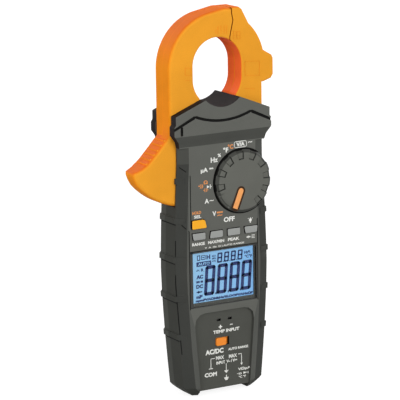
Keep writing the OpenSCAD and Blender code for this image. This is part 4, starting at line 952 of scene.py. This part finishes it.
target, camera_distance = Vector((-16.24, -13.0, 124.03)), 1508.9
turn, tilt, roll = math.radians(30), math.radians(12.12), math.radians(-0.92)
ahead = Vector((math.sin(turn) * math.cos(tilt), math.cos(turn) * math.cos(tilt),
                -math.sin(tilt)))
right = Vector((math.cos(turn), -math.sin(turn), 0))
up = right.cross(ahead)
right_rolled = math.cos(roll) * right + math.sin(roll) * up
up_rolled = math.cos(roll) * up - math.sin(roll) * right
camera_data = bpy.data.cameras.new("bench_camera")
camera_data.lens = 223.7
camera_data.sensor_width = 36
camera_data.clip_end = 50
camera = bpy.data.objects.new("bench_camera", camera_data)
matrix = Matrix((right_rolled, up_rolled, -ahead)).transposed().to_4x4()
matrix.translation = (target - camera_distance * ahead) * MM
camera.matrix_world = matrix
bpy.context.scene.collection.objects.link(camera)
bpy.context.scene.camera = camera


def background_rays(tree):
    """1 for the rays that see the background: from the camera, or by way of gloss or glass."""
    ray = add(tree, "LightPath")
    seen_or_mirrored = add(tree, "Math", {0: ray.outputs["Is Camera Ray"],
                                          1: ray.outputs["Is Glossy Ray"]}, operation="MAXIMUM")
    seen_at_all = add(tree, "Math", {0: seen_or_mirrored.outputs[0],
                                     1: ray.outputs["Is Transmission Ray"]}, operation="MAXIMUM")
    return seen_at_all.outputs[0]


# the lacquered table top keeps the meter's shadow; what sees it directly sees white
table_white, tree, surface, place = start_material("white_lacquered_table")
glow = add(tree, "Math", {0: background_rays(tree), 1: 0.86}, operation="MULTIPLY")
fill(tree, surface, {"Base Color": linear("#9a9a9a"), "Roughness": 0.9, "Specular IOR Level": 0.0,
                     "Emission Color": (1, 1, 1, 1), "Emission Strength": glow.outputs[0]})
table = bmesh.new()
table_half, foot_gap = 8, 0.3 * MM
bmesh.ops.create_grid(table, x_segments=1, y_segments=1, size=table_half,
                      matrix=Matrix.Translation((0, 0, -foot_gap)))
table_data = bpy.data.meshes.new("table")
table.to_mesh(table_data)
table.free()
table_data.materials.append(table_white)
table_object = bpy.data.objects.new("table", table_data)
bpy.context.scene.collection.objects.link(table_object)

world = bpy.data.worlds.new("studio")
world.use_nodes = True
bpy.context.scene.world = world
tree = world.node_tree
level = add(tree, "MapRange", {"Value": background_rays(tree), "To Min": 0.3, "To Max": 1.0})
fill(tree, tree.nodes["Background"], {"Color": (1, 1, 1, 1), "Strength": level.outputs[0]})
lamp_spread = math.radians(40)
for name, side, power in (("front_lamp", (0.2, -1.0, 0.3), 1.8),
                          ("left_lamp", (-1.0, -0.4, 0.15), 1.8),
                          ("right_lamp", (1.0, 0.1, 0.3), 1.2),
                          ("rear_lamp", (-0.1, 1.0, 0.4), 1.6)):
    lamp = bpy.data.lights.new(name, "SUN")
    lamp.energy = power
    lamp.angle = lamp_spread
    lamp_object = bpy.data.objects.new(name, lamp)
    lamp_object.rotation_euler = Vector(side).to_track_quat("Z", "Y").to_euler()
    bpy.context.scene.collection.objects.link(lamp_object)

bpy.context.scene.view_settings.view_transform = "Standard"
